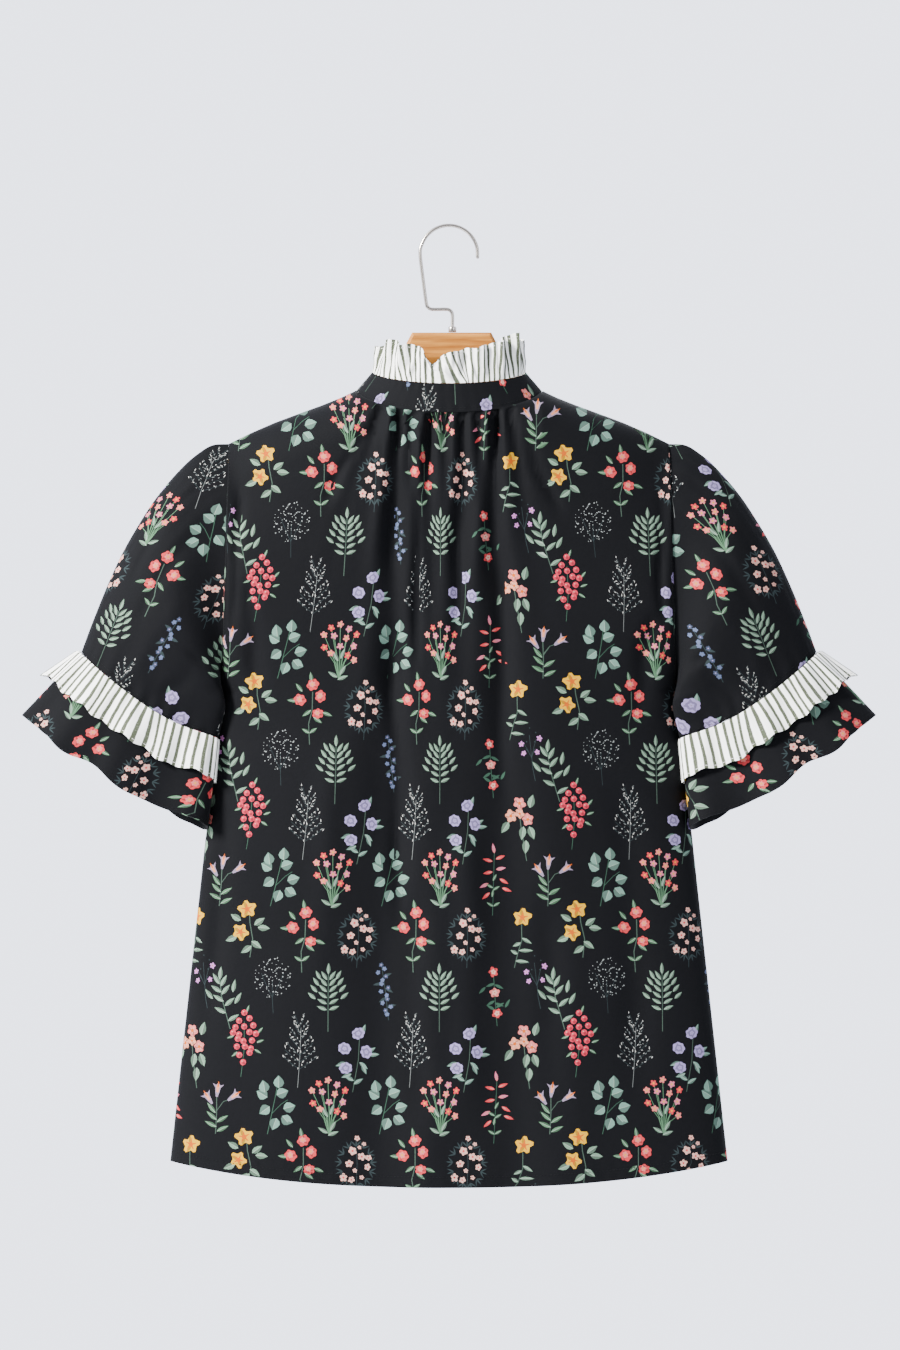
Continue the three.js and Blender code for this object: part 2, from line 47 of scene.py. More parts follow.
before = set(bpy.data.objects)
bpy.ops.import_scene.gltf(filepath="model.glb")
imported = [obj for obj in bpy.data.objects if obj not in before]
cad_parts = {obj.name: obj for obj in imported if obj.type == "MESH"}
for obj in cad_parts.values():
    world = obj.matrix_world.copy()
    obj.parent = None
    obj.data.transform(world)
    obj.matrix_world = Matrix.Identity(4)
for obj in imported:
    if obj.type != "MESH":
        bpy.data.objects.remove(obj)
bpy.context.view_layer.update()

MM = 0.001

# Body of the blouse
SEAM = 0.4
LAP = 1.9
NECK_HALF = 80
NECK_Z = -142
NECK_DEPTH = 38
BACK_NECK = (19, 1.1)
FRONT_NECK = (82, 1.5)
SHOULDER_HALF = 192
SHOULDER_Z = -189
SHOULDER_LINE = [
    *((80, -142), (94, -148.6), (110, -155), (130, -162.3), (152, -170.5), (173, -179.6), (192, -189)),
]
ARMPIT = (198, -403, 25)
HEM_HALF = 243
HEM_SIDE = -814
HEM_MIDDLE = -836
ROOF = 40
ROUNDNESS = 0.85
DEPTHS = [(-836, 37), (-600, 34), (-403, 38), (-230, 41), (-142, 38)]
# Gathers under the neck seam as x, lean, depth and run down
BACK_GATHERS = [
    (-58, -0.3, 2.4, 60),
    (-45, -0.02, 5.5, 330),
    (-32, -0.06, 3, 70),
    (-16, 0, 4, 190),
    (-2, 0.02, 2.6, 60),
    (13, 0, 4.2, 150),
    (26, 0.05, 2.8, 70),
    (39, 0.02, 5.2, 260),
    (52, 0.16, 3, 90),
]
FRONT_GATHERS = [(24, 0.03, 3.2, 110), (37, 0.08, 4.2, 200), (50, 0.14, 2.8, 90)]
# Hanging folds as x, height and width
BACK_FOLDS = [(-150, 2.2, 34), (-62, -3.6, 26), (-18, 2.6, 20), (58, -3.2, 24), (104, 2.4, 30)]
FRONT_FOLDS = [(-120, 2.6, 34), (-64, -3.2, 24), (70, -3.4, 26), (132, 2.4, 32)]
PLACKET_HALF = 14
PLACKET_RAMP = 16
PLACKET_TOP = -224
PLACKET_LENGTH = 612

# Collar
BAND_TOP = (67, 33)
BAND_SIDE_Z = -126.6
BAND_BACK_Z = -137.5
BAND_FRONT_Z = -200
BAND_RISE = 14
FRILL_RISE = 31
# Peaks and dips of the frill's edge as degrees, height and width
FRILL_PEAKS = [(-92, -9, 24), (-52, 3.5, 9), (-13, -13, 7), (2, -5, 9), (60, 6, 15), (92, -3, 18)]
# Creases by the frill's notch as depth, degrees, tilt, width and how soon each starts
FRILL_CREASES = [(3, 4, 22, 2.2, 3), (-2.2, 9, 18, 2.4, 4), (1.8, -34, -10, 2.4, 4)]
FRILL_SCALE = 66
FRILL_REACH = FRILL_SCALE * math.radians(165)

# Sleeves, flounces and cuff frills
SLEEVE_EDGE = [
    *((192, -189), (206, -190), (218, -197), (231, -208), (249, -228)),
    *((264, -249), (283, -281), (298, -313), (311, -345), (320.5, -370.5)),
]
UNDERARM = (207.5, -448)
TUBE_SCALE = 60
SLEEVE_LENGTH = 235
SLEEVE_GRAIN = 22
FLOUNCE_OUTER = (51.5, -54.5)
FLOUNCE_INNER = (6.5, -77)
FLOUNCE_LENGTH = 76
CUFF_DEPTH = 27
CUFF_FRILL_LENGTH = 36

# Buttons, hanger and hook
BUTTON_RADIUS = 5.5
BUTTON_THICK = 2.4
WIRE_RADIUS = 1.6
WIRE_ARC = 25.1
HANGER_TOP = -92
STITCH_PITCH = 3.1
THREAD = 0.2


def clamp(value, low=0.0, high=1.0):
    return np.clip(value, low, high)


def ease(share):
    """Smooth step: t * t * (3 - 2 * t)."""
    t = clamp(share)
    return t * t * (3 - 2 * t)


def bump(distance, width):
    """Bell curve: exp(-(d / w) ** 2)."""
    return np.exp(-((distance / width) ** 2))


def mix(a, b, share):
    return a + (b - a) * share


def table(rows, place):
    """Straight lines between the rows' points."""
    keys, values = zip(*rows)
    return np.interp(place, keys, values)


def unit(vectors):
    """The vectors at length 1."""
    return vectors / np.maximum(np.linalg.norm(vectors, axis=-1, keepdims=True), 1e-9)


def turned(degrees):
    """The matrix that turns rows of flat points anticlockwise."""
    c, s = math.cos(math.radians(degrees)), math.sin(math.radians(degrees))
    return np.array([[c, s], [-s, c]])


def linear(colour):
    """Linear values of a colour given from 0 to 255."""
    c = np.asarray(colour, float) / 255
    return np.where(c <= 0.04045, c / 12.92, ((c + 0.055) / 1.055) ** 2.4)


# ---------------------------------------------------------------- surfaces of the blouse


def body_half(z):
    """Half width of the body at a height: down the armhole, then flared to the hem."""
    upper = mix(SHOULDER_HALF, ARMPIT[0], clamp((SHOULDER_Z - z) / (SHOULDER_Z - ARMPIT[1])))
    lower = mix(ARMPIT[0], HEM_HALF, (ARMPIT[1] - z) / (ARMPIT[1] - HEM_SIDE))
    return np.where(z > ARMPIT[1], upper, lower)


def armhole_depth(z):
    """Depth of the armhole's edge: 25 * sqrt(1 - (1 - 2 t) ** 2) down the armhole."""
    share = clamp((SHOULDER_Z - z) / (SHOULDER_Z - ARMPIT[1]))
    return ARMPIT[2] * np.sqrt(clamp(1 - (1 - 2 * share) ** 2))


def top_edge(face, x):
    """Height and depth of a panel's top edge: the neck curve, then the shoulder seam."""
    drop, curve = BACK_NECK if face < 0 else FRONT_NECK
    inside = np.sqrt(clamp(1 - (np.abs(x) / NECK_HALF) ** 2))
    neck = NECK_Z - drop * inside**curve
    return np.where(inside > 0, neck, table(SHOULDER_LINE, np.abs(x))), NECK_DEPTH * inside


def hem_at(s):
    """Height of the hem: lowest in the middle, 22 * |s| ** 2.4 higher towards the sides."""
    return mix(HEM_MIDDLE, HEM_SIDE, np.abs(s) ** 2.4)


def gathers_at(face, x, below):
    """Troughs under the neck seam, each a bell across that fades and widens on its way down."""
    width = 3.4 + 0.04 * below
    across = x if face < 0 else np.abs(x)
    depth = np.zeros_like(x)
    for k, (place, lean, deep, run) in enumerate(BACK_GATHERS if face < 0 else FRONT_GATHERS):
        fade = np.exp(-below / run) * ease(below / 6) * (1 + 0.25 * np.sin(below / 19 + 2 * k))
        line = across - place - lean * below - 1.2 * np.sin(below / 31 + k)
        depth -= 1.55 * deep * fade * bump(line, width)
        depth += 0.5 * deep * fade * bump(line + 1.9 * width, width * 0.8)
    return depth


def folds_at(face, x, z):
    """Long hanging folds that grow towards the hem."""
    grown = ease((NECK_Z - 60 - z) / 420)
    spread = body_half(z) / HEM_HALF
    depth = np.zeros_like(x)
    for place, height, width in BACK_FOLDS if face < 0 else FRONT_FOLDS:
        depth += height * grown * bump(x - place * spread, width)
    return depth


# Creases of the back as the ends' x and z, depth and width
BACK_CREASES = [
    (-186, -214, -190, -385, 2.6, 5),
    (-178, -300, -160, -420, 1.3, 8),
    (186, -214, 190, -390, 2.2, 5),
    (181, -330, 160, -440, 1.4, 8),
    (-46, -330, -44, -640, 2.2, 8),
    (-29, -180, -30, -420, 1.6, 5),
    (4, -200, 8, -390, 1.5, 6),
    (44, -260, 50, -520, 1.6, 8),
    (-70, -172, -112, -250, 1.2, 6),
    (66, -176, 100, -262, 1.1, 6),
    (-95, -420, -120, -700, -1.3, 14),
    (20, -500, 12, -800, -1.6, 14),
    (150, -470, 168, -790, 1.5, 16),
    (-196, -460, -214, -760, 1.3, 12),
    (84, -560, 96, -820, 1.4, 14),
    (-30, -560, -26, -810, 1.2, 12),
]
FRONT_CREASES = [
    (-186, -214, -190, -385, 2.2, 5),
    (186, -214, 190, -390, 2.4, 5),
    (-170, -330, -120, -420, 1.4, 9),
    (170, -320, 124, -425, 1.5, 9),
    (-58, -240, -70, -420, 1.6, 7),
    (56, -236, 66, -460, 1.8, 7),
    (-100, -480, -118, -800, 1.6, 16),
    (30, -520, 34, -810, 1.3, 12),
    (112, -460, 128, -780, -1.4, 15),
]


def creases_at(creases, x, z):
    """Soft uneven troughs along straight lines, a little wavy and fading at both ends."""
    depth = np.zeros_like(x)
    for k, (x0, z0, x1, z1, deep, width) in enumerate(creases):
        share = (z - z0) / (z1 - z0)
        line = mix(x0, x1, share) + 2.2 * np.sin(share * 5.3 + k) + 1.1 * np.sin(share * 13 + 2 * k)
        fade = ease(share / 0.22) * ease((1 - share) / 0.35)
        uneven = 1 + 0.3 * np.sin(share * 9 + 1.7 * k)
        depth -= 2 * deep * fade * uneven * bump(x - line, width)
    return depth


def puckers(place, from_seam, pitch, reach, height):
    """Small seam puckers: a ripple of changing size that dies away from the seam."""
    ripple = np.sin(place * 2 * math.pi / pitch + 1.3 * np.sin(place / 17))
    uneven = 0.6 + 0.4 * np.sin(place / 23 + 1)
    return height * ripple * uneven * np.exp(-from_seam / reach) * ease(from_seam / 1.5)


def body_surface(face, s, down):
    """A panel of the body from s = -1 to 1 across and down = 0 to 1.

    x = half(z) * s and y = face * depth(z) * (1 - s * s) ** 0.425 with folds added. The top
    40 mm turn over to the shoulder seam as a quarter round."""
    top, top_y = top_edge(face, SHOULDER_HALF * s)
    hem = hem_at(s)
    z = mix(top, hem, down)
    below = top - z
    x = body_half(z) * s
    soft = ARMPIT[2] * np.sin(math.pi * clamp((SHOULDER_Z - z) / 260)) ** 1.5
    arm = mix(soft, armhole_depth(z), np.abs(s) ** 30)
    rounded = clamp(1 - s * s) ** (ROUNDNESS / 2)
    full = arm + (table(DEPTHS, z) - arm) * rounded
    roof = np.sqrt(1 - (1 - clamp(below / ROOF)) ** 2)
    detail = gathers_at(face, x, below) + folds_at(face, x, z)
    y = top_y + (full - top_y) * roof + detail * rounded
    edge = ease((1 - np.abs(s)) * 9) * ease((below - 6) / 16)
    y = y + edge * creases_at(BACK_CREASES if face < 0 else FRONT_CREASES, x, z)
    y = y + puckers(x, np.abs(z - hem - 9), 7, 3.5, 0.28) * ease((1 - np.abs(s)) * 30)
    return np.stack([x, face * y, z], -1)


def arc_table():
    """Length along the body's rounded section for a unit half width, from its middle."""
    s = np.sin(np.linspace(0, math.pi / 2, 400))
    depth = 0.165 * clamp(1 - s * s) ** (ROUNDNESS / 2)
    return s, np.concatenate([[0], np.cumsum(np.hypot(np.diff(s), np.diff(depth)))])


ARC_S, ARC_LENGTH = arc_table()


def place_on_arc(arc):
    """The place s from -1 to 1 at a length along the section."""
    return np.sign(arc) * np.interp(np.abs(arc), ARC_LENGTH, ARC_S)


def arc_of(s):
    """The length along the section at a place s."""
    return np.sign(s) * np.interp(np.abs(s), ARC_S, ARC_LENGTH)


PANEL_SCALE = 220
PANEL_LENGTH = 660


def panel_surface(face):
    """Panel of the body over lengths along the section and down the panel."""
    return lambda p, q: body_surface(face, place_on_arc(p / PANEL_SCALE), q / PANEL_LENGTH)


def left_front_surface(p, q):
    """The under front, whose edge lies a cloth's thickness behind the over front."""
    points = panel_surface(1)(p, q)
    x = place_on_arc(p / PANEL_SCALE) * SHOULDER_HALF
    points[..., 1] -= LAP * ease((x + PLACKET_HALF + PLACKET_RAMP + 4) / PLACKET_RAMP)
    return points


def placket_surface(p, q):
    """The strip over the front's edge: the front's surface moved out by a lap."""
    points = body_surface(1, p / SHOULDER_HALF, q / PANEL_LENGTH)
    points[..., 0] = p
    points[..., 1] += LAP
    return points


def collar_point(angle, up):
    """The collar band's surface from its seam to its top edge, by angle round the neck."""
    c = np.cos(angle)
    back = c > 0
    foot = np.where(back, *(top_edge(face, NECK_HALF * np.sin(angle))[0] for face in (-1, 1)))
    power = np.where(back, 1.2, 0.95)
    top = mix(BAND_SIDE_Z, np.where(back, BAND_BACK_Z, BAND_FRONT_Z), np.abs(c) ** power)
    x = mix(NECK_HALF, BAND_TOP[0], up) * np.sin(angle)
    y = -mix(NECK_DEPTH, BAND_TOP[1], up) * c
    return np.stack([x, y, mix(foot + seam_gap(angle), top, up)], -1)


def seam_gap(angle):
    """The seam's gap measured upright, more where the seam runs steeply."""
    return SEAM * (1.2 + clamp(0.4 - 4 * np.cos(angle), 0, 1.4))


def band_surface(p, q):
    """The band by millimetres round the neck and up, with its left end under its right."""
    angle, up = p / TUBE_SCALE, q / BAND_RISE
    points = collar_point(angle, up)
    points[..., 1] -= LAP * ease((math.radians(-165) - angle) / math.radians(12))
    folds = puckers(p, q, 9, 3, 0.35) + puckers(p + 40, BAND_RISE - q, 8, 3, 0.3)
    foot = (1 - up) ** 3
    points[..., 0] += np.sin(angle) * foot
    points[..., 1] -= np.cos(angle) * (folds * ease((BAND_RISE - q) / 1.5) + foot)
    points[..., 2] -= 1.6 * foot
    return points


def frill_surface(p, q):
    """The collar frill: a wavy strip that stands on the band and leans inwards.

    Its upper edge has peaks and dips by angle, and the lean adds waves and sharp creases."""
    angle, up = p / FRILL_SCALE, q / FRILL_RISE
    slant = sum(
        size * bump(angle - at, spread)
        for size, at, spread in ((0.2, 0.02, 0.16), (0.12, -0.75, 0.3), (-0.05, 0.8, 0.3))
    )
    angle = angle + slant * (1 - clamp(up)) ** 1.3
    seat = collar_point(angle, np.ones_like(up))
    out = unit(seat[..., :2] / np.array(BAND_TOP))
    degrees = np.degrees(angle)
    rise = FRILL_RISE + sum(height * bump(degrees - at, spread) for at, height, spread in FRILL_PEAKS)
    rise = rise + 0.9 * np.sin(11 * angle + 1) + 0.6 * np.sin(29 * angle)
    phase = 17 * angle
    wave = np.sin(phase + 0.8) + 0.45 * np.sin(0.55 * phase + 2.1)
    fine = 0.42 * np.sin(3.1 * phase + 1) * np.sin(0.9 * phase)
    lean = 3.5 * clamp(up) ** 0.9 * wave - 4.5 * up + fine * 2.6 * np.sqrt(clamp(up)) * ease(up * 3)
    lean = lean + 0.5 * np.sin(up * 9 + phase * 0.7) * up * (1 - up) * 3
    for deep, at, tilt, width, start in FRILL_CREASES:
        lean = lean + deep * bump(degrees - at + tilt * up, width) * ease(up * start)
    lean = lean + 1.6 * bump(degrees - 21 + 9 * up, 1.8) * ease(up * 5) * ease((0.75 - up) * 3)
    lean = lean - 2.5 * up * bump(degrees + 70, 30)
    height = 1.3 * seam_gap(angle) + rise * up
    return np.concatenate([seat[..., :2] + out * lean[..., None], (seat[..., 2] + height)[..., None]], -1)


def smooth_line(points, count):
    """A Catmull-Rom curve through points: count places at equal steps along it."""
    points = np.asarray(points, float)
    ends = np.vstack([2 * points[0] - points[1], points, 2 * points[-1] - points[-2]])
    t = np.linspace(0, 1, 24, endpoint=False)[:, None]
    parts = []
    for a, b, c, d in zip(ends, ends[1:], ends[2:], ends[3:]):
        curve = 2 * b + (c - a) * t + (2 * a - 5 * b + 4 * c - d) * t**2 + (3 * b - a - 3 * c + d) * t**3
        parts.append(0.5 * curve)
    fine = np.vstack([*parts, points[-1:]])
    length = np.concatenate([[0], np.cumsum(np.linalg.norm(np.diff(fine, axis=0), axis=1))])
    wanted = np.linspace(0, length[-1], count)
    return np.stack([np.interp(wanted, length, fine[:, k]) for k in range(points.shape[1])], -1)


SLEEVE_LINE = smooth_line(SLEEVE_EDGE, 200)
SLEEVE_AT = np.linspace(0, 1, 200)


def tucked(turn, amount):
    """A fold of the back half that lies over the body's side: a bell round 2.6 of the turn."""
    away = (turn - 2.6 + math.pi) % (2 * math.pi) - math.pi
    return (bump(away, 0.4) * amount)[..., None] * np.array([-13, -6, 0])


def sleeve_plane(share, along):
    """x and z of the sleeve between its outer edge, share 0, and its underarm, share 1."""
    past = (along - clamp(along)) * 199
    outer_x, outer_z = (
        np.interp(along, SLEEVE_AT, line)
        + past * np.where(past > 0, line[-1] - line[-2], line[1] - line[0])
        for line in SLEEVE_LINE.T
    )
    sag = 24 * clamp(share) * clamp(1 - share) * ease(along)
    x = mix(outer_x, mix(ARMPIT[0], UNDERARM[0], along), share) + 0.5 * sag
    z = mix(outer_z, mix(ARMPIT[1], UNDERARM[1], along), share) - 0.85 * sag
    return x, z


# Creases of the sleeve as turn, along, turn, along at the ends, depth and width in turn
SLEEVE_CREASES = [
    (0.35, 0.1, 0.42, 0.95, 1.7, 0.07),
    (0.75, 0.0, 0.7, 0.7, 1.5, 0.09),
    (1.25, 0.05, 1.05, 0.8, 1.4, 0.1),
    (2.75, 0.0, 2.3, 0.6, 2.2, 0.09),
    (2.45, 0.05, 1.9, 0.55, 1.8, 0.1),
    (2.1, 0.45, 1.75, 1.0, 1.3, 0.1),
    (2.7, 0.4, 2.55, 1.0, 1.6, 0.08),
    (1.5, 0.35, 1.35, 1.0, -1.2, 0.12),
]


def sleeve_surface(p, q):
    """The right sleeve by turn round it and length along it, with cap gathers and creases."""
    turn, along = p / TUBE_SCALE, clamp(q / SLEEVE_LENGTH)
    share = (1 - np.cos(turn)) / 2
    x, z = sleeve_plane(share, along)
    swell = ease(along / 0.42)
    depth = mix(ARMPIT[2] + 12 * swell, CUFF_DEPTH, ease((along - 0.42) / 0.58))
    gathered = np.maximum(0, np.cos(turn)) ** 2 * np.exp(-along / 0.25) * ease(along / 0.06)
    swing = gathered * (1.5 * np.cos(18 * turn) + 0.8 * np.sin(31 * turn + 1))
    inside = ease(along / 0.1) * ease((1 - along) / 0.1)
    for k, (t0, a0, t1, a1, deep, width) in enumerate(SLEEVE_CREASES):
        s = (along - a0) / (a1 - a0)
        line = mix(t0, t1, s) + 0.03 * np.sin(7 * s + k)
        fade = inside * ease(s / 0.25) * ease((1 - s) / 0.3) * (1 + 0.3 * np.sin(8 * s + 2 * k))
        swing = swing - deep * fade * (bump(turn - line, width) + bump(turn + line + 0.1, width))
    gather = np.exp(-(1 - along) / 0.09) * ease((1 - along) / 0.02)
    swing = swing + 0.7 * gather * np.sin(27 * turn + 2 * np.sin(3 * turn))
    y = -(depth + swing) * np.sin(turn)
    roof = np.sqrt(1 - (1 - clamp((SHOULDER_Z - z) / ROOF)) ** 2)
    y = np.where(along < 0.5, y * mix(roof, 1, ease(along / 0.5)), y)
    return np.stack([x + 0.1 * (1 - along), y, z], -1) + tucked(turn, ease(along / 0.55))


def cuff_outward(turn):
    """Direction away from the cuff's middle at an angle round it."""
    across = np.array([SLEEVE_EDGE[-1][0] - UNDERARM[0], 0, SLEEVE_EDGE[-1][1] - UNDERARM[1]])
    length = np.linalg.norm(across)
    out = np.cos(turn)[..., None] * across / length * CUFF_DEPTH
    return unit(out - np.sin(turn)[..., None] * np.array([0, length / 2, 0]))


def flounce_plane(share, fall):
    """x and z of the flounce below the cuff seam, without its waves."""
    x, z = sleeve_plane(share, np.ones_like(share))
    length = SEAM / math.hypot(*FLOUNCE_INNER) + fall
    x = x + mix(FLOUNCE_OUTER[0], FLOUNCE_INNER[0], share) * length
    return x, z + mix(FLOUNCE_OUTER[1], FLOUNCE_INNER[1], share) * length


def flounce_point(turn, fall):
    """A point of the flounce by turn and share of its length, waved along its hem."""
    share = (1 - np.cos(turn)) / 2
    hem = np.sin(turn) ** 2 * (0.6 * np.sin(7 * turn + 1) + 0.4 * np.sin(11 * turn + 2.5))
    x, z = flounce_plane(share, fall * (1 + 0.05 * hem))
    y = -(CUFF_DEPTH + 9 * fall) * np.sin(turn)
    wave = np.sin(8 * turn + 0.6) + 0.4 * np.sin(5 * turn + 1.9)
    wave = wave + 0.16 * np.sin(19 * turn + 1) * np.sin(3 * turn)
    out = 3.2 * clamp(fall, 0, 2) ** 1.3 * wave * np.abs(np.sin(turn))
    return np.stack([x, y, z], -1) + cuff_outward(turn) * out[..., None] + tucked(turn, 1)


def flounce_surface(p, q):
    """The right flounce: a flared strip that waves more towards its hem."""
    turn, fall = p / TUBE_SCALE, clamp(q / FLOUNCE_LENGTH)
    points = flounce_point(turn, fall)
    fine = 0.55 * np.sin(33 * turn + 2 * np.sin(4 * turn)) * np.exp(-fall / 0.12) * ease(fall / 0.05)
    return points + cuff_outward(turn) * fine[..., None]


def cuff_frill_surface(p, q):
    """The striped frill over the flounce: the flounce moved out, with waves of its own."""
    turn, fall = p / TUBE_SCALE, clamp(q / CUFF_FRILL_LENGTH)
    sway = (0.035 * np.sin(7 * turn + 1) + 0.018 * np.sin(15 * turn)) * np.abs(np.sin(turn))
    turn = turn + sway * np.sin(math.pi * fall * 0.6)
    wave = 0.5 + 0.5 * np.sin(13 * turn + 1.1 + 1.2 * np.sin(3 * turn))
    free = 1 - np.maximum(bump(turn - math.pi, 0.5), bump(turn + math.pi, 0.5))
    fine = 0.7 * (1 + np.sin(29 * turn + 2 * np.sin(5 * turn))) * (1 - 0.6 * fall) * ease(fall / 0.05)
    lift = LAP + SEAM + (0.3 + 4.6 * fall * wave + fine) * free + 5 * fall * bump(turn, 0.3)
    edge = 1 + free * (0.05 * np.sin(9 * turn + 2) + 0.035 * np.sin(23 * turn + 1))
    return flounce_point(turn, fall * 0.46 * edge) + cuff_outward(turn) * lift[..., None]


def mirrored(surface):
    """The same surface on the other side of the blouse."""
    return lambda p, q: surface(p, q) * np.array([-1, 1, 1])


# ---------------------------------------------------------------- the printed pattern

INKS = {
    "yellow": (248, 186, 38),
    "orange": (222, 104, 24),
    "coral": (228, 74, 78),
    "rose": (240, 130, 125),
    "blossom": (245, 188, 172),
    "peach": (245, 160, 130),
    "pink": (225, 125, 150),
    "thistle": (212, 140, 212),
    "lavender": (175, 160, 212),
    "blue": (104, 117, 152),
    "mauve": (158, 142, 166),
    "berry": (226, 66, 86),
    "white": (222, 222, 216),
    "grey": (176, 182, 180),
    "sage": (128, 160, 136),
    "mint": (126, 164, 148),
    "green": (96, 138, 104),
    "dark": (62, 96, 78),
    "pale": (176, 196, 178),
    "stem": (74, 94, 82),
    "slate": (52, 64, 66),
}
INKS |= {name + "-": tuple(0.74 * c for c in colour) for name, colour in INKS.items()}
INK_NAMES = list(INKS)


def dot(x, y, radius, ink, sides=6):
    """A small disc."""
    t = np.linspace(0, 2 * math.pi, sides, endpoint=False)
    return [(np.stack([x + radius * np.cos(t), y + radius * np.sin(t)], -1), ink)]


def bloom(x, y, size, petals, ink, heart=None, turn=0.3, cut=0.38, veins=None):
    """A flower seen from above: radius * (1 - cut + cut * |cos(petals * t / 2)|).

    One petal in two is a little darker; veins are short strokes from the heart."""
    radius = size * 0.88
    t = np.linspace(0, 2 * math.pi, petals * 4, endpoint=False)
    r = radius * (1 - cut + cut * np.abs(np.cos(petals * (t - turn) / 2)))
    r = r * (1 + 0.07 * np.sin(2 * t + 3 * turn))
    shapes = [(np.stack([x + r * np.cos(t), y + r * np.sin(t)], -1), ink)]
    for k in range(petals):
        degrees = math.degrees(turn + 2 * math.pi * k / petals)
        if k % 2 and radius > 4:
            shapes += leaf(x, y, degrees + 14, radius * 0.9, radius * 0.45, ink + "-")
        if veins:
            shapes += leaf(x, y, degrees, radius * 0.66, radius * 0.17, veins)
    return shapes + (dot(x, y, radius * 0.27, heart) if heart else [])


def leaf(x, y, degrees, length, width, ink, shaded=False):
    """A lens from its stalk at x, y along an angle: 0.43 * width * sin(pi * t ** 0.8).

    A shaded leaf has its lower half darker, with a pale line between the halves."""
    t = np.array([0, 0.18, 0.4, 0.65, 0.88, 1])
    side = 0.43 * width * np.sin(math.pi * t**0.8)
    lower, upper = (np.stack([t * length, edge], -1) for edge in (-side, side))
    parts = [(np.concatenate([lower, upper[-2:0:-1]]), ink)]
    if shaded:
        line = [(0.4, -0.22), (length * 0.88, -0.1), (length * 0.88, 0.12), (0.4, 0.22)]
        parts += [(np.vstack([lower, (length * 0.5, -0.04 * width)]), ink + "-"), (np.array(line), "pale")]
    return [(part @ turned(degrees) + (x, y), tone) for part, tone in parts]


def stalk(points, width, ink):
    """A line of even width through points."""
    line = np.asarray(points, float)
    way = np.gradient(line, axis=0)
    side = unit(np.stack([-way[:, 1], way[:, 0]], -1)) * width / 2
    return [(np.concatenate([line - side, (line + side)[::-1]]), ink)]


def several(make, rows):
    """The shapes of one kind of thing at every row's place."""
    return [shape for row in rows for shape in make(*row)]


def leaves(rows, length, width, ink, shaded=True):
    """Leaves of one kind at x, y and angle rows."""
    return several(lambda x, y, a: leaf(x, y, a, length, width, ink, shaded), rows)


def yellow_duo():
    shapes = stalk([(2, 12), (3, 0), (6, -14), (4, -30)], 0.8, "stem")
    rows = [(-5, 2, 150), (7, -2, 35), (10, -4, -5), (-8, -12, 200), (5, -16, -35), (5, -20, 215)]
    shapes += leaves(rows, 11, 6.5, "sage")
    shapes += bloom(0, 12, 9.6, 5, "yellow", "orange", 0.5, 0.5, "orange")
    return shapes + bloom(-5, -8, 8.8, 5, "yellow", "orange", 1.1, 0.5, "orange")


def coral_sprig():
    shapes = stalk([(3, 12), (3, -4), (0, -16), (1, -34)], 0.8, "stem")
    rows = [(-6, 12, 130), (-10, 4, 175), (2, -4, 215), (4, -10, -35), (12, -6, -20), (2, 20, 100)]
    shapes += leaves(rows, 9.5, 4, "green") + leaves([(1, -24, 150), (1, -24, 35)], 8, 3.6, "green")
    for x, y, r, turn in [(3, 18, 6.2, 0.2), (-8, 5, 6.2, 0.9), (10, 8, 6, 1.5), (8, -7, 5.6, 0.5)]:
        shapes += bloom(x, y, r, 6, "coral", None, turn, 0.25)
        shapes += bloom(x - 0.5, y + 0.5, r * 0.55, 6, "rose", "yellow", turn + 0.5)
    return shapes


def blossom_cluster():
    shapes = stalk([(0, 16), (1, -2), (0, -30)], 0.5, "slate")
    for angle in 200 + 27.7 * np.arange(13):
        x, y = (12.5, 16) * turned(angle)[0] - (0, 3)
        shapes += leaves([(x, y, angle + tilt) for tilt in (-40, 0, 45)], 6.5, 1.5, "slate", False)
    rows = [(1, 20, 2.9), (7, 15, 2.2), (-3, 9, 4.4), (5, 4, 4.2), (11, 3, 3.2), (-6, -2, 4), (10, -5, 3.4)]
    rows += [(-1, -8, 2.4), (-11, -14, 4.2), (-4, -16, 3.4), (5, -14, 2.4), (3, 12, 2)]
    return shapes + several(lambda x, y, r: bloom(x, y, r, 5, "blossom", "coral", x), rows)


def single_yellow():
    shapes = stalk([(0, 6), (0, -8), (-4, -20), (-7, -32)], 0.7, "stem")
    rows = [(0, -6, -30, 10), (-1, -10, 205, 8), (-3, -17, 0, 13), (-6, -26, -5, 12), (-4, -20, 150, 7)]
    shapes += several(lambda x, y, a, s: leaf(x, y, a, s, 3.8, "sage", True), rows)
    return shapes + bloom(1, 12, 9.6, 5, "yellow", "orange", 0.2, 0.5, "orange")


def dotted_shrub():
    k = np.arange(96)
    angle, radius = k * 2.39996 + 0.5 * np.sin(k * 1.7), 16.5 * np.sqrt(k / 96)
    shapes = stalk([(0, 0), (0, -12), (1, -28)], 0.35, "slate")
    for side in (-1, 1):
        shapes += stalk([(0, -14), (side * 6, -2), (side * 10, 7)], 0.3, "slate")
    rows = zip(radius * np.cos(angle), 3 + 1.1 * radius * np.sin(angle), 0.3 + 0.3 * (k % 5) / 4)
    return shapes + several(lambda x, y, r: dot(x, y, r, "grey", 5), rows)


def fern():
    shapes = stalk([(0, 18), (0, 0), (0, -33)], 0.7, "stem")
    for k in range(6):
        y = 12 - 5.2 * k
        for side in (-1, 1):
            tilt = 90 - side * (34 + 7 * k)
            shapes += leaf(side, y, tilt, 9.5, 3.8, "sage", True)
            if 0 < k < 5:
                x, up = (8 + 0.8 * k) * turned(tilt)[0]
                shapes += leaf(side + x, y + up - 1, tilt + side * 12, 9, 3.8, "sage", True)
    return shapes + leaf(0, 17, 90, 10, 4, "sage", True)


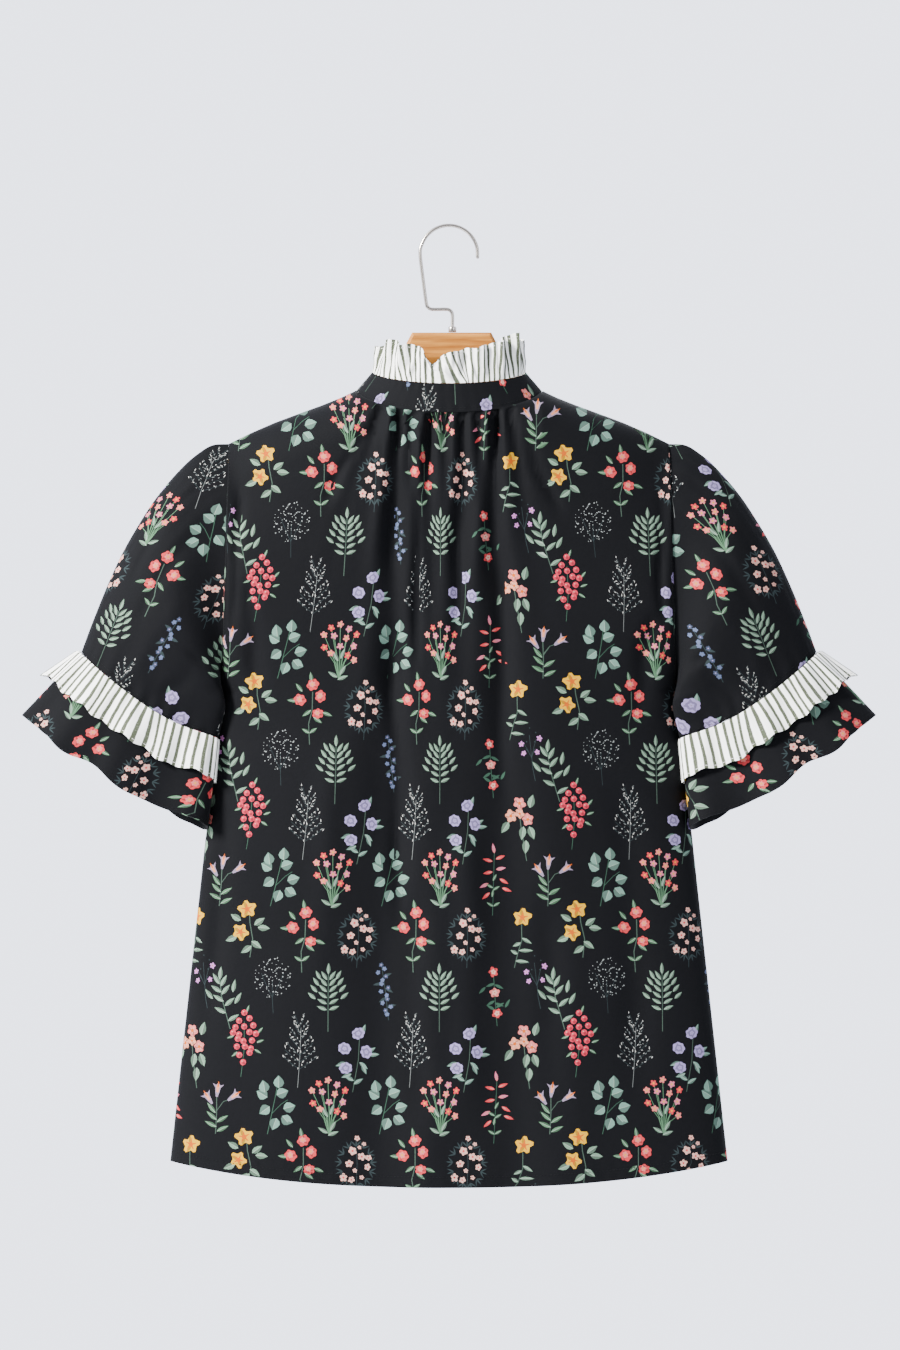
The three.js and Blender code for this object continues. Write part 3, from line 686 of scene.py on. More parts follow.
def blue_column():
    shapes = stalk([(-3, 24), (1, 0), (4, -26)], 0.6, "slate")
    rows = [(2, -6, 215), (1, 2, -30), (3, -14, 10), (-1, 12, 20), (-2, 6, 190)]
    shapes += leaves(rows, 8, 3, "slate", False)
    for k in range(14):
        x, y = -3 + 0.5 * k + 3.6 * math.sin(2.4 * k), 22 - 3.3 * k
        shapes += bloom(x, y, 2.4, 5, "blue" if k % 3 else "blue-", None if k % 3 else "lavender", k)
    return shapes


def pink_column():
    shapes = stalk([(-1, 18), (0, 0), (2, -28)], 0.6, "dark")
    rows = [(0, 9, 200), (0, 8, -25), (0, -6, 210), (0, -8, -20), (1, -12, 30), (0, -14, 150)]
    shapes += leaves(rows + [(-8, 6, 225), (9, -12, 60)], 8.5, 3, "dark", False)
    for x, y, ink in [(-1, 19, "coral"), (0, 1, "rose"), (2, -17, "coral")]:
        shapes += bloom(x, y, 5.2, 5, ink, None, x + 0.4) + bloom(x, y, 2.8, 5, "blossom", "orange", x)
    return shapes


def leafy_branch():
    shapes = stalk([(12, -34), (8, -20), (4, -6), (2, 10)], 0.8, "stem")
    rows = [(10, -27, 30), (8, -20, 155), (7, -14, 40), (6, -10, 150), (4, -4, 50), (4, -2, 150)]
    rows += [(3, 3, 62), (2, 5, 125), (2, 9, 85), (16, -12, 60), (14, -2, 80), (-4, -8, 130)]
    shapes += leaves(rows, 11.5, 4.6, "sage")
    for x, y in [(-20, 18), (-14, 24), (-8, 20), (-17, 12), (-9, 12)]:
        shapes += stalk([(-12, 4), ((x - 12) / 2, (y + 6) / 2), (x, y)], 0.4, "slate")
        shapes += dot(x * 0.9 - 1, y + 6, 0.7, "slate", 4)
    shapes += stalk([(-12, 6), (-11, -6), (-9, -16)], 0.5, "slate")
    rows = [(-21, 16, 3), (-5, 21, 3.2), (-19, 8, 2.8), (-7, 9, 2.8)]
    return shapes + several(lambda x, y, r: bloom(x, y, r, 5, "thistle", "pink", x, 0.5), rows)


def berries():
    shapes = stalk([(0, 14), (0, -10), (-3, -34)], 0.5, "dark")
    rows = [(-9, 2, 200), (11, -4, 20), (9, -10, -30), (-6, -12, 220), (2, 22, 70), (12, 4, 50)]
    shapes += leaves(rows, 7, 2.8, "green")
    for row, count in enumerate((1, 2, 3, 4, 3, 3, 2, 1)):
        for k in range(count):
            shift = 1.2 * math.sin(5.1 * row + 2.3 * k)
            x, y = (k - (count - 1) / 2) * 7 + shift, 22 - 6 * row + shift
            shapes += dot(x, y, 2.8, "berry", 8) + dot(x + 0.7, y - 0.8, 1.5, "berry-", 5)
            shapes += dot(x - 0.8, y + 0.9, 0.6, "blossom", 4)
    return shapes


def white_shrub():
    shapes = stalk([(1, 16), (0, -8), (-2, -36)], 0.4, "grey-")
    for k in range(7):
        for side in (-1, 1):
            y, reach = -20 + 6 * k, 15 - 1.8 * k
            shapes += stalk([(-0.5, y), (side * reach * 0.5, y + 5), (side * reach, y + 11)], 0.3, "slate")
            for n in range(7):
                share = 0.12 + 0.14 * n
                x = side * reach * share + 1.3 * math.sin(6.3 * n + 2.9 * k)
                z = y + 11 * share + 1.8 * math.sin(9.1 * n + 4 * k + side)
                tilt = 90 - side * (15 + 60 * (n % 2)) + 25 * math.sin(7.7 * n + 3 * k + 2 * side)
                size = 2.1 + 0.9 * math.sin(5.3 * n + k)
                shapes += leaf(x, z, tilt, size, 0.8, "grey-" if n % 3 else "white")
    return shapes


def lavender_roses():
    shapes = stalk([(3, 12), (2, -6), (-3, -34)], 0.6, "stem")
    rows = [(5, 16, 70), (9, 0, 30), (11, -2, 5), (3, -8, -40), (5, -10, -65), (-9, -8, 200)]
    shapes += leaves(rows + [(-2, -24, 150), (-2, -27, 30), (-4, -18, 200)], 9.5, 4.2, "mint")
    for x, y, turn in [(2, 17, 0.2), (-10, 4, 0.8), (9, 1, 1.4), (-9, -13, 0.5)]:
        shapes += bloom(x, y, 6.3, 7, "lavender", None, turn, 0.18)
        shapes += bloom(x, y, 3.9, 5, "lavender-", None, turn, 0.2)
        shapes += bloom(x, y, 2.2, 5, "lavender", "mauve", turn)
    return shapes


def peach_blossoms():
    shapes = stalk([(0, 12), (2, -8), (6, -36)], 0.7, "stem")
    shapes += leaves([(-9, -2, 235), (4, -6, 260), (9, -6, -70), (6, -18, 265), (10, 10, 75)], 12, 7.5, "sage")
    rows = [(1, 14, 6.6, "rose"), (-7, 3, 6.4, "peach"), (8, 0, 6.2, "rose"), (1, 5, 5, "peach")]
    return shapes + several(lambda x, y, r, ink: bloom(x, y, r, 5, ink, "orange", x, 0.38, "blossom"), rows)


def bell_flowers():
    shapes = stalk([(0, 8), (0, -8), (-1, -26)], 0.8, "stem")
    shapes += stalk([(0, -6), (6, 2), (12, 4)], 0.6, "stem")
    rows = [(0, -14, 140), (0, -20, 155), (0, -16, 30), (0, -24, 25), (-1, -8, 130)]
    shapes += leaves(rows, 12, 4.4, "green")
    half = [(0, 0.8), (4, 1.8), (8, 2.4), (11.5, 5.2), (10.2, 2), (12.6, 0)]
    bell = np.array([(a, -w) for a, w in half] + half[-2::-1])
    throat = np.array([(4, -0.9), (10, -1.6), (11, 0), (10, 1.6), (4, 0.9)])
    for x, y, degrees in [(0, 6, 82), (-4, 0, 125), (10, 3, 35)]:
        turn = turned(degrees)
        shapes += [(bell @ turn + (x, y), "mauve"), (throat @ turn + (x, y), "peach")]
        shapes += leaf(*(np.array([8, 0]) @ turn + (x, y)), degrees, 6, 1.6, "orange")
    return shapes


def mint_leaves():
    shapes = stalk([(6, 20), (2, 0), (-4, -28)], 0.6, "dark")
    shapes += stalk([(0, -10), (8, -2), (14, 2)], 0.5, "dark")
    rows = [(6, 12, 90), (-4, 4, 150), (4, 6, 20), (-2, -4, 215)]
    rows += [(10, -6, 15), (4, -14, 250), (8, -14, -20), (-6, 8, 100)]
    return shapes + leaves(rows, 11, 11, "mint") + leaves([(9, -12, -50)], 8, 8, "mint")


def pink_bouquet():
    shapes = []
    flowers = [(0, 22), (-8, 19), (8, 18), (-14, 13), (15, 13), (-5, 12), (6, 10)]
    flowers += [(-13, 2), (13, 3), (-7, -3), (8, -5), (1, 3), (14, -9)]
    for x, y in flowers:
        shapes += stalk([(1, -26), (0.35 * x + 1, 0.3 * y - 12), (x, y)], 0.5, "green")
    rows = [(0, -24, 150), (0, -26, 20), (2, -22, 60), (0, -10, 120), (2, -8, 70)]
    shapes += leaves(rows, 10, 4, "sage")
    for k, (x, y) in enumerate(flowers):
        shapes += bloom(x, y, 3.7, 5, ("rose", "coral", "pink")[k % 3], "yellow", k, 0.5)
    return shapes


def coral_bells():
    shapes = stalk([(2, 24), (1, 4), (-1, -34)], 0.5, "dark")
    rows = [(2, 20, 100), (3, 15, 20), (0, 13, 165), (3, 6, 10), (0, 4, 190), (6, -2, -30)]
    for k, (x, y, a) in enumerate(rows + [(-4, -6, 205), (8, -10, -20), (-3, -14, 220)]):
        shapes += leaf(x, y, a, 9, 3.6, "coral" if k % 3 else "pink") + leaf(x, y, a, 5, 1.6, "rose")
    rows = [(0, -4, 60), (0, -10, 150), (0, -12, 30), (0, -26, 150), (0, -26, 30), (-1, -18, 80)]
    return shapes + leaves(rows, 7, 3, "green")


REPEAT = np.array([294, 198])
COLUMN = 49
# The repeat's rows as height, shift, motifs and how far each motif is moved up
PRINT_ROWS = [
    (
        *(0, 0, (yellow_duo, coral_sprig, blossom_cluster, coral_sprig, blossom_cluster, single_yellow)),
        (9, 0, 0, 0, 0, 2),
    ),
    (-49.5, 24.5, (dotted_shrub, fern, blue_column, fern, pink_column, leafy_branch), (8, -3, 0, -3, -3, 0)),
    (
        *(-99, 0, (berries, white_shrub, lavender_roses, white_shrub, lavender_roses, peach_blossoms)),
        (8, 1, -5, 1, -5, 0),
    ),
    (
        *(-148.5, 24.5, (mint_leaves, pink_bouquet, mint_leaves, pink_bouquet, coral_bells, bell_flowers)),
        (2, -1, 2, -1, 0, 0),
    ),
]


def repeat_shapes(size):
    """Every shape of one repeat, as points, lengths and ink numbers."""
    points, lengths, inks = [], [], []
    for height, shift, motifs, lifts in PRINT_ROWS:
        for column, (motif, lift) in enumerate(zip(motifs, lifts)):
            for shape, ink in motif():
                points.append(shape * size + (column * COLUMN + shift, height + lift))
                lengths.append(len(shape))
                inks.append(INK_NAMES.index(ink))
    return np.concatenate(points), np.array(lengths), np.array(inks)


def printed(low, high, origin, transform):
    """The repeat's shapes laid over a flat area from low to high, mapped by transform.

    transform turns flat cloth coordinates into a sheet's own; shapes come back as lists."""
    tile, lengths, inks = repeat_shapes(bpy.context.scene.blouse.motif_size)
    centres = np.add.reduceat(tile, np.cumsum(lengths) - lengths, axis=0) / lengths[:, None]
    first = np.floor((np.array(low) - origin) / REPEAT).astype(int) - 1
    count = np.ceil((np.array(high) - origin) / REPEAT).astype(int) + (1, 2) - first
    shapes = []
    for cell in np.ndindex(*count):
        move = origin + (first + cell) * REPEAT
        at = centres + move
        near = np.all((at > np.array(low) - 12) & (at < np.array(high) + 12), axis=1)
        if near.any():
            points = transform(tile[np.repeat(near, lengths)] + move)
            shapes += zip(np.split(points, np.cumsum(lengths[near])[:-1]), inks[near].tolist())
    return shapes


# ---------------------------------------------------------------- sheets of cloth


def triangulate(columns, rows, shapes=(), edge=None):
    """Triangles over a rectangle of grid lines that follow the shapes' outlines.

    Returns points, triangles and the top shape's index on each triangle, -1 for bare ground.
    edge gives the points to use round the rectangle, anticlockwise."""
    if edge is None:
        x0, x1, y0, y1 = columns[0], columns[-1], rows[0], rows[-1]
        sides = ((columns[:-1], y0), (x1, rows[:-1]), (columns[:0:-1], y1), (x0, rows[:0:-1]))
        edge = np.concatenate([np.stack(np.broadcast_arrays(x, y), -1) for x, y in sides])
    inner = np.stack(np.meshgrid(columns[1:-1], rows[1:-1], indexing="ij"), -1).reshape(-1, 2)
    joined, start = [], 0
    for part in (edge, inner, *(shape for shape, _ in shapes)):
        if part is not inner:
            joined += [(start + k, start + (k + 1) % len(part)) for k in range(len(part))]
        start += len(part)
    points = np.concatenate([edge, inner, *(shape for shape, _ in shapes)])
    made = delaunay_2d_cdt([Vector(p) for p in points.tolist()], joined, [], 0, 1e-4, False)
    spots, triangles = np.array([tuple(v) for v in made[0]]), np.array(made[2])
    return spots, triangles, painted(spots[triangles].mean(1), shapes)


def painted(middles, shapes):
    """The last shape that each point lies in, by a count of crossings, -1 where none does."""
    order = np.argsort(middles[:, 0])
    ranked = middles[order]
    top = np.full(len(middles), -1)
    for number, (shape, _) in enumerate(shapes):
        (x_low, y_low), (x_high, y_high) = shape.min(0), shape.max(0)
        first, last = np.searchsorted(ranked[:, 0], (x_low, x_high))
        part = ranked[first:last]
        near = np.flatnonzero((part[:, 1] > y_low) & (part[:, 1] < y_high))
        x, y = part[near].T
        (x0, y0), (x1, y1) = shape.T[:, :, None], np.roll(shape, -1, axis=0).T[:, :, None]
        rise = np.where(y1 == y0, 1, y1 - y0)
        crossed = ((y0 > y) != (y1 > y)) & (x < (x1 - x0) * (y - y0) / rise + x0)
        top[order[first:last][near[crossed.sum(0) % 2 == 1]]] = number
    return top


def fitted(shapes, columns, rows):
    """Shapes kept inside the rectangle, anticlockwise; those wholly outside are dropped."""
    low, high = np.array([columns[0], rows[0]]), np.array([columns[-1], rows[-1]])
    kept = []
    for points, ink in shapes:
        if (points.max(0) <= low).any() or (points.min(0) >= high).any():
            continue
        points = np.clip(points, low, high)
        following = np.roll(points, -1, axis=0)
        area = float((points[:, 0] * following[:, 1] - points[:, 1] * following[:, 0]).sum())
        if abs(area) > 0.05:
            kept.append((points if area > 0 else points[::-1], ink))
    return kept


def round_edge(points, columns, rows):
    """Numbers of the points on the rectangle's edge, in order round it, and their places."""
    x, y = points.T
    x0, x1, y0, y1 = columns[0], columns[-1], rows[0], rows[-1]
    width, height = x1 - x0, y1 - y0
    near = [np.abs(gap) < 1e-3 for gap in (y - y0, x - x1, y - y1, x - x0)]
    near[0] &= ~near[1]
    ways = [x - x0, width + (y - y0), width + height + (x1 - x), 2 * width + height + (y1 - y)]
    place = np.select(near, ways, -1.0)
    found = np.flatnonzero(place >= 0)
    return found[np.argsort(place[found])], np.sort(place[found]) / (2 * width + 2 * height)


def directions(surface, points, columns, rows, step=0.6):
    """Unit directions at right angles to a surface, by differences, kept inside its range."""
    p, q = points.T
    p0, p1 = np.maximum(p - step, columns[0]), np.minimum(p + step, columns[-1])
    q0, q1 = np.maximum(q - step, rows[0]), np.minimum(q + step, rows[-1])
    return unit(np.cross(surface(p1, q) - surface(p0, q), surface(p, q1) - surface(p, q0)))


def finish(name):
    """The named finish, made once."""
    found = bpy.data.materials.get("shown_" + name)
    if found:
        return found
    tree = Tree(bpy.data.materials.new("shown_" + name))
    return FINISHES[name](tree, bpy.context.scene.blouse)


def make_object(name, points, faces, slot_name, stands_for=(), look=None):
    """A mesh object in metres from points in millimetres, riding on the frame."""
    mesh = bpy.data.meshes.new(name)
    mesh.from_pydata(points * MM, [], faces, shade_flat=False)
    mesh.update()
    mesh.materials.append(finish(look or slot_name))
    piece = bpy.data.objects.new(name, mesh)
    bpy.context.scene.collection.objects.link(piece)
    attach(piece, "root")
    if stands_for:
        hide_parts(*stands_for)
    return piece


def add_map(mesh, name, places):
    """A UV map from one place for each corner."""
    mesh.uv_layers.new(name=name).data.foreach_set("uv", places.astype(np.float32).ravel())


def sheet(name, surface, columns, rows, out, slot_name, shapes=(), coarse=2, chart=False, **cut):
    """A closed thin cloth over a surface: its outer side, its inner side and its rims.

    The outer side is surface(p, q), the inner side is moved in by the cloth's thickness, and
    out is 1 or -1, the side of the surface that faces out."""
    thick = bpy.context.scene.blouse.thickness / MM
    shapes = fitted(shapes, columns, rows)
    flat, outer, top = triangulate(columns, rows, shapes)
    ring, place = round_edge(flat, columns, rows)
    thin = [np.append(line[:-1:coarse], line[-1]) for line in (columns, rows)]
    flat_in, inner, _ = triangulate(*thin, edge=flat[ring])
    ring_in, _ = round_edge(flat_in, columns, rows)
    if len(ring_in) != len(ring):
        raise RuntimeError(f"{name}: the two sides of the cloth have different edges")
    normal, normal_in = (directions(surface, f, columns, rows) * out for f in (flat, flat_in))
    points = surface(*flat.T)
    points_in = surface(*flat_in.T) - normal_in * thick
    points_in[ring_in] = points[ring] - normal[ring] * thick
    corners = np.concatenate([points, points_in])
    ring_in = ring_in + len(flat)
    rim = np.stack([np.roll(ring, -1), ring, ring_in, np.roll(ring_in, -1)], -1)
    outer, inner, rim = outer[:, ::out], inner[:, ::-out] + len(flat), rim[:, ::out]
    faces = [*outer.tolist(), *inner.tolist(), *rim.tolist()]
    piece = make_object(f"{name}_cloth", corners, faces, slot_name, [name])
    mesh = piece.data
    a, b, c, d = corners[rim.T]
    both = np.concatenate([normal, -normal_in])
    loops = [both[outer.ravel()], both[inner.ravel()], np.repeat(unit(np.cross(c - a, d - b)), 4, axis=0)]
    mesh.normals_split_custom_set(np.concatenate(loops).tolist())
    if shapes:
        inks = np.ones((len(INKS) + 1, 4))
        inks[:-1, :3], inks[-1] = linear(list(INKS.values())), 0
        owner = np.array([ink for _, ink in shapes] + [-1])
        values = np.zeros((outer.size + inner.size + rim.size, 4), np.float32)
        values[: outer.size] = np.repeat(inks[owner[top]], 3, axis=0)
        layer = mesh.color_attributes.new("print", "FLOAT_COLOR", "CORNER")
        layer.data.foreach_set("color", values.ravel())
    index = np.concatenate([part.ravel() for part in (outer, inner, rim)])
    add_map(mesh, "cloth", np.concatenate([flat, flat_in])[index] * MM)
    if chart:
        low, size = np.array([columns[0], rows[0]]), np.array([np.ptp(columns), np.ptp(rows)])
        share, share_in = ((f - low) / size for f in (flat, flat_in))
        wide = np.concatenate([share * (0.76, 0.98) + 0.01, share_in * (0.17, 0.98) + (0.79, 0.01)])
        ends = np.append(place[1:], 1.0)
        strip = 0.01 + 0.98 * np.stack([ends, place, place, ends], -1)
        side = np.tile([0.975, 0.975, 0.99, 0.99], (len(rim), 1))
        strip = np.stack([side[:, ::out], strip[:, ::out]], -1).reshape(-1, 2)
        add_map(mesh, "OFBake", np.concatenate([wide[index[: outer.size + inner.size]], strip]))
    mesh.uv_layers.active = mesh.uv_layers["cloth"]
    mesh.uv_layers["cloth"].active_render = True


def lines(low, high, step):
    """Grid lines from low to high, about a step apart."""
    return np.linspace(low, high, max(2, round((high - low) / step)) + 1)


def roof_rows(length, step):
    """Rows down a panel, closer together in the top part where the cloth turns over."""
    near = length * np.array([0, 0.002, 0.005, 0.009, 0.014, 0.02, 0.027, 0.034])
    return np.concatenate([near[:-1], lines(near[-1], length, step)])


def hidden_cloth(u, z):
    """How far the print is drawn to the middle by the gathers at a height."""
    taken = mix(20, 9, ease((-208 - z) / 230)) * (1 - 0.85 * ease((-430 - z) / 260))
    return taken * np.where(u < -5, 1.0, 0.72) * np.tanh((u + 5) / 55)


def panel_transform(face):
    """Flat cloth coordinates, u across and z up, to lengths over a body panel."""

    def transform(points):
        u, z = points[:, 0], np.minimum(points[:, 1], -124)
        along = (u - (hidden_cloth(u, z) if face < 0 else 0)) / body_half(z)
        s = place_on_arc(along)
        top, _ = top_edge(face, SHOULDER_HALF * s)
        down = (top - points[:, 1]) / (top - hem_at(s))
        return np.stack([along * PANEL_SCALE, down * PANEL_LENGTH], -1)

    return transform


def half_girth():
    """Length round half of a flat oval, 0.4 as deep as it is wide, as a share of its width."""
    turn = np.linspace(0, math.pi, 400)
    step = np.hypot(np.diff(0.5 * np.cos(turn)), np.diff(0.2 * np.sin(turn)))
    return np.concatenate([[0], np.cumsum(step)]), turn


GIRTH, GIRTH_TURN = half_girth()


def flat_cross(a, b):
    return a[:, 0] * b[:, 1] - a[:, 1] * b[:, 0]


def tube_transform(plane, side_length, origin):
    """Flat cloth coordinates to turn and length on a tube, by Newton steps on its plane.

    The cloth lies flat at an angle over the back half of the tube and goes on past the outer
    fold round the front half; lengths across are then measured round the tube."""
    spots = np.meshgrid(np.linspace(-1.1, 1.1, 23), np.linspace(0, 1, 13))
    grid = np.stack(spots, -1).reshape(-1, 2)

    def there(at):
        return np.stack(plane(*at.T), -1)

    def transform(points):
        wanted = points @ turned(SLEEVE_GRAIN) + origin
        at = grid[((wanted[:, None] - there(grid)) ** 2).sum(-1).argmin(1)]
        for _ in range(8):
            here = there(at)
            across, along = ((there(at + step) - here) / 1e-3 for step in ((1e-3, 0), (0, 1e-3)))
            area = flat_cross(across, along)
            area = np.where(np.abs(area) < 1, 1, area)[:, None]
            miss = wanted - here
            move = np.stack([flat_cross(miss, along), flat_cross(across, miss)], -1) / area
            at = clamp(at + clamp(move, -0.3, 0.3), (-1.3, -0.2), (1.3, 1.2))
        around = np.sign(at[:, 0]) * np.interp(np.abs(at[:, 0]), GIRTH, GIRTH_TURN)
        missed = np.linalg.norm(wanted - there(at), axis=1) > 1.5
        place = np.stack([around * TUBE_SCALE, at[:, 1] * side_length], -1)
        return np.where(missed[:, None], np.nan, place)

    return transform


# ---------------------------------------------------------------- materials


class Wire:
    """One output of a shader tree, with arithmetic that adds Math nodes."""

    def __init__(self, tree, socket):
        self.tree = tree
        self.socket = socket

    def math(self, operation, *others):
        node = self.tree.nodes.new("ShaderNodeMath")
        node.operation = operation
        for slot_in, value in zip(node.inputs, (self, *others)):
            connect(self.tree, slot_in, value)
        return Wire(self.tree, node.outputs[0])

    def __add__(self, other):
        return self.math("ADD", other)

    __radd__ = __add__

    def __mul__(self, other):
        return self.math("MULTIPLY", other)

    __rmul__ = __mul__

    def __sub__(self, other):
        return self.math("SUBTRACT", other)

    def __rsub__(self, other):
        return (self * -1) + other

    def __truediv__(self, other):
        return self.math("DIVIDE", other)

    def clamped(self):
        return self.math("MAXIMUM", 0.0).math("MINIMUM", 1.0)


def connect(tree, slot_in, value):
    """Links a wire to an input, or sets the input's value."""
    if isinstance(value, Wire):
        tree.links.new(value.socket, slot_in)
    else:
        slot_in.default_value = value


class Tree:
    """The node tree of a material or world with one call to add a node."""

    def __init__(self, owner):
        owner.use_nodes = True
        self.owner, self.nodes, self.links = owner, owner.node_tree.nodes, owner.node_tree.links

    def add(self, kind, settings=None, output=0, **inputs):
        node = self.nodes.new("ShaderNode" + kind)
        for key, value in (settings or {}).items():
            setattr(node, key, value)
        for key, value in inputs.items():
            connect(self, next(s for s in node.inputs if s.name == key and s.enabled), value)
        return Wire(self, node.outputs[output])

    def blend(self, share, first, second):
        """A Mix node of two colours."""
        node = self.nodes.new("ShaderNodeMix")
        node.data_type = "RGBA"
        for number, value in ((0, share), (6, first), (7, second)):
            connect(self, node.inputs[number], value)
        return Wire(self, node.outputs[2])

    def noise(self, vector, scale, detail=2.0, rough=0.5):
        return self.add("TexNoise", Vector=vector, Scale=scale, Detail=detail, Roughness=rough)

    def parts(self, vector):
        x = self.add("SeparateXYZ", Vector=vector)
        return [Wire(self, out) for out in x.socket.node.outputs]

    def place(self):
        """Object coordinates."""
        return self.add("TexCoord", output=3)

    def finish(self, colour, roughness, height=None, strength=0.2, distance=0.0005, **fixed):
        shader = self.nodes["Principled BSDF"]
        connect(self, shader.inputs["Base Color"], colour)
        connect(self, shader.inputs["Roughness"], roughness)
        if height is not None:
            normal = self.add("Bump", Height=height, Strength=strength, Distance=distance)
            connect(self, shader.inputs["Normal"], normal)
        for key, value in fixed.items():
            shader.inputs[key.replace("_", " ")].default_value = value
        return self.owner


def rgba(colour, factor=1.0):
    return (*(np.array(colour) * factor).tolist(), 1.0)


def floral_material(tree, settings):
    """Black cotton with the print in its colour attribute; the ink is a little worn."""
    uv = tree.add("UVMap", {"uv_map": "cloth"})
    print_colour = tree.add("Attribute", {"attribute_name": "print", "attribute_type": "GEOMETRY"})
    ink = Wire(tree, print_colour.socket.node.outputs["Alpha"])
    across, along, _ = tree.parts(uv)
    threads = (across * 9000).math("SINE") * (along * 9000).math("SINE")
    speckle = tree.noise(uv, 1500.0, 1.0)
    patch = tree.noise(uv, 260.0, 3.0, 0.6)
    cover = (ink * (1.12 - speckle * 0.3 - patch * 0.22)).clamped()
    ground = tree.blend(speckle, rgba(settings.ground, 0.72), rgba(settings.ground, 1.35))
    lit = tree.blend((0.42 + patch * 0.3).clamped(), rgba((0, 0, 0)), print_colour)
    height = threads * 0.3 + speckle + tree.noise(uv, 90.0) * 1.5
    fixed = {"Sheen_Weight": 0.02, "Sheen_Roughness": 0.4, "Specular_IOR_Level": 0.06}
    colour = tree.blend(cover, ground, lit)
    return tree.finish(colour, 0.66 + speckle * 0.16, height, 0.3, 0.0004, **fixed)


def striped_material(tree, settings):
    """White cotton with thin olive lines that run across the frill."""
    uv = tree.add("UVMap", {"uv_map": "cloth"})
    wobble = tree.noise(uv, 130.0) * 0.0007
    across, along, _ = tree.parts(uv)
    pitch = settings.stripe_pitch
    edge = (((across + wobble) / pitch).math("FRACT") - 0.5).math("ABSOLUTE") * pitch
    line = (1 - (edge - settings.stripe_width * 0.5) / 0.00022).clamped()
    worn = (0.62 + tree.noise(uv, 900.0, 3.0, 0.7) * 0.8).clamped()
    speckle = tree.noise(uv, 1500.0, 1.0)
    white = tree.blend(speckle, rgba((0.93, 0.93, 0.89)), rgba((0.99, 0.99, 0.97)))
    colour = tree.blend((line * worn).clamped(), white, rgba(settings.stripe))
    height = speckle + tree.noise(uv, 110.0) * 1.5
    return tree.finish(colour, 0.72 + speckle * 0.14, height, 0.3, 0.0004, Sheen_Weight=0.15)


def thread_material(low, high, **fixed):
    """Thread with a fine speckle between two colours."""

    def make(tree, settings):
        speckle = tree.noise(tree.place(), 2500.0)
        colour = tree.blend(speckle, rgba(low), rgba(high))
        return tree.finish(colour, 0.6 + speckle * 0.2, **fixed)

    return make


def wood_material(tree, settings):
    """Lacquered beech: broad streaks along the hanger and short darker flecks."""
    place = tree.place()
    streaks, flecks = (
        tree.noise(tree.add("Mapping", {"vector_type": "POINT"}, Vector=place, Scale=scale), 1.0, *detail)
        for scale, detail in (((16.0, 300.0, 300.0), (5.0, 0.55)), ((40.0, 900.0, 900.0), (2.0, 0.6)))
    )
    light, dark = rgba(settings.wood, 1.1), rgba(settings.wood, (0.58, 0.45, 0.3))
    body = tree.blend((streaks * 3.6 - 1.35).clamped(), light, dark)
    fleck = (flecks * 3.4 - 1.9).clamped() * 0.5
    colour = tree.blend(fleck, body, rgba(settings.wood, (0.62, 0.5, 0.36)))
    return tree.finish(colour, 0.34 + flecks * 0.16, flecks, 0.12, 0.0002, Specular_IOR_Level=0.2)


def metal_material(tree, settings):
    """Satin nickel, slightly uneven in colour and gloss."""
    place = tree.place()
    fine, soft = tree.noise(place, 500.0), tree.noise(place, 60.0)
    colour = tree.blend(soft, rgba(settings.metal, 0.9), rgba(settings.metal, 1.08))
    return tree.finish(colour, 0.26 + fine * 0.03, Metallic=1.0)


def button_material(tree, settings):
    """Black polished plastic with a faint cloudy streak."""
    cloud = tree.noise(tree.place(), 420.0, 4.0, 0.6)
    share = (cloud * 1.6 - 0.4).clamped()
    colour = tree.blend(share, rgba((0.008, 0.009, 0.01)), rgba((0.03, 0.031, 0.034)))
    return tree.finish(colour, 0.14 + cloud * 0.12)


FINISHES = {
    "floral_cloth": floral_material,
    "striped_cloth": striped_material,
    "dark_thread": thread_material(
        (0.002, 0.0021, 0.0027), (0.005, 0.0053, 0.0065), Specular_IOR_Level=0.1
    ),
    "light_thread": thread_material((0.7, 0.7, 0.64), (0.85, 0.85, 0.8)),
    "wood": wood_material,
    "hook_metal": metal_material,
    "button": button_material,
}


# ---------------------------------------------------------------- settings and operators


def length_setting(name, description, default, low, high):
    """A length that a user may change."""
    limits = {"default": default, "min": low, "max": high, "precision": 4}
    return bpy.props.FloatProperty(
        name=name, description=description, subtype="DISTANCE", unit="LENGTH", **limits
    )


def colour_setting(name, description, default):
    """A colour that a user may change."""
    return bpy.props.FloatVectorProperty(
        name=name, description=description, default=default, min=0, max=1, subtype="COLOR"
    )


class BlouseSettings(bpy.types.PropertyGroup):
    """Sizes and colours of the blouse that a user may change."""

    thickness: length_setting("Cloth thickness", "Thickness of the shown cloth", 0.0007, 0.0003, 0.0015)
    motif_size: bpy.props.FloatProperty(
        name="Motif size",
        description="Size of each flower motif in the printed repeat, 1 is as designed",
        default=1.0,
        min=0.7,
        max=1.15,
        subtype="FACTOR",
    )
    stripe_pitch: length_setting(
        "Stripe pitch", "Distance from one stripe of the frills to the next", 0.006, 0.003, 0.02
    )
    stripe_width: length_setting("Stripe width", "Width of one stripe of the frills", 0.0021, 0.0005, 0.01)
    stitch_length: length_setting("Stitch length", "Length of one seam stitch", 0.0024, 0.0015, 0.005)
    ground: colour_setting(
        "Ground colour", "Colour of the printed cloth between the flowers", (0.0026, 0.0028, 0.0036)
    )
    stripe: colour_setting("Stripe colour", "Colour of the lines on the frills", (0.034, 0.045, 0.018))
    wood: colour_setting("Wood colour", "Main colour of the hanger's wood", (0.385, 0.16, 0.028))
    metal: colour_setting("Metal colour", "Colour of the hook", (0.5, 0.46, 0.42))


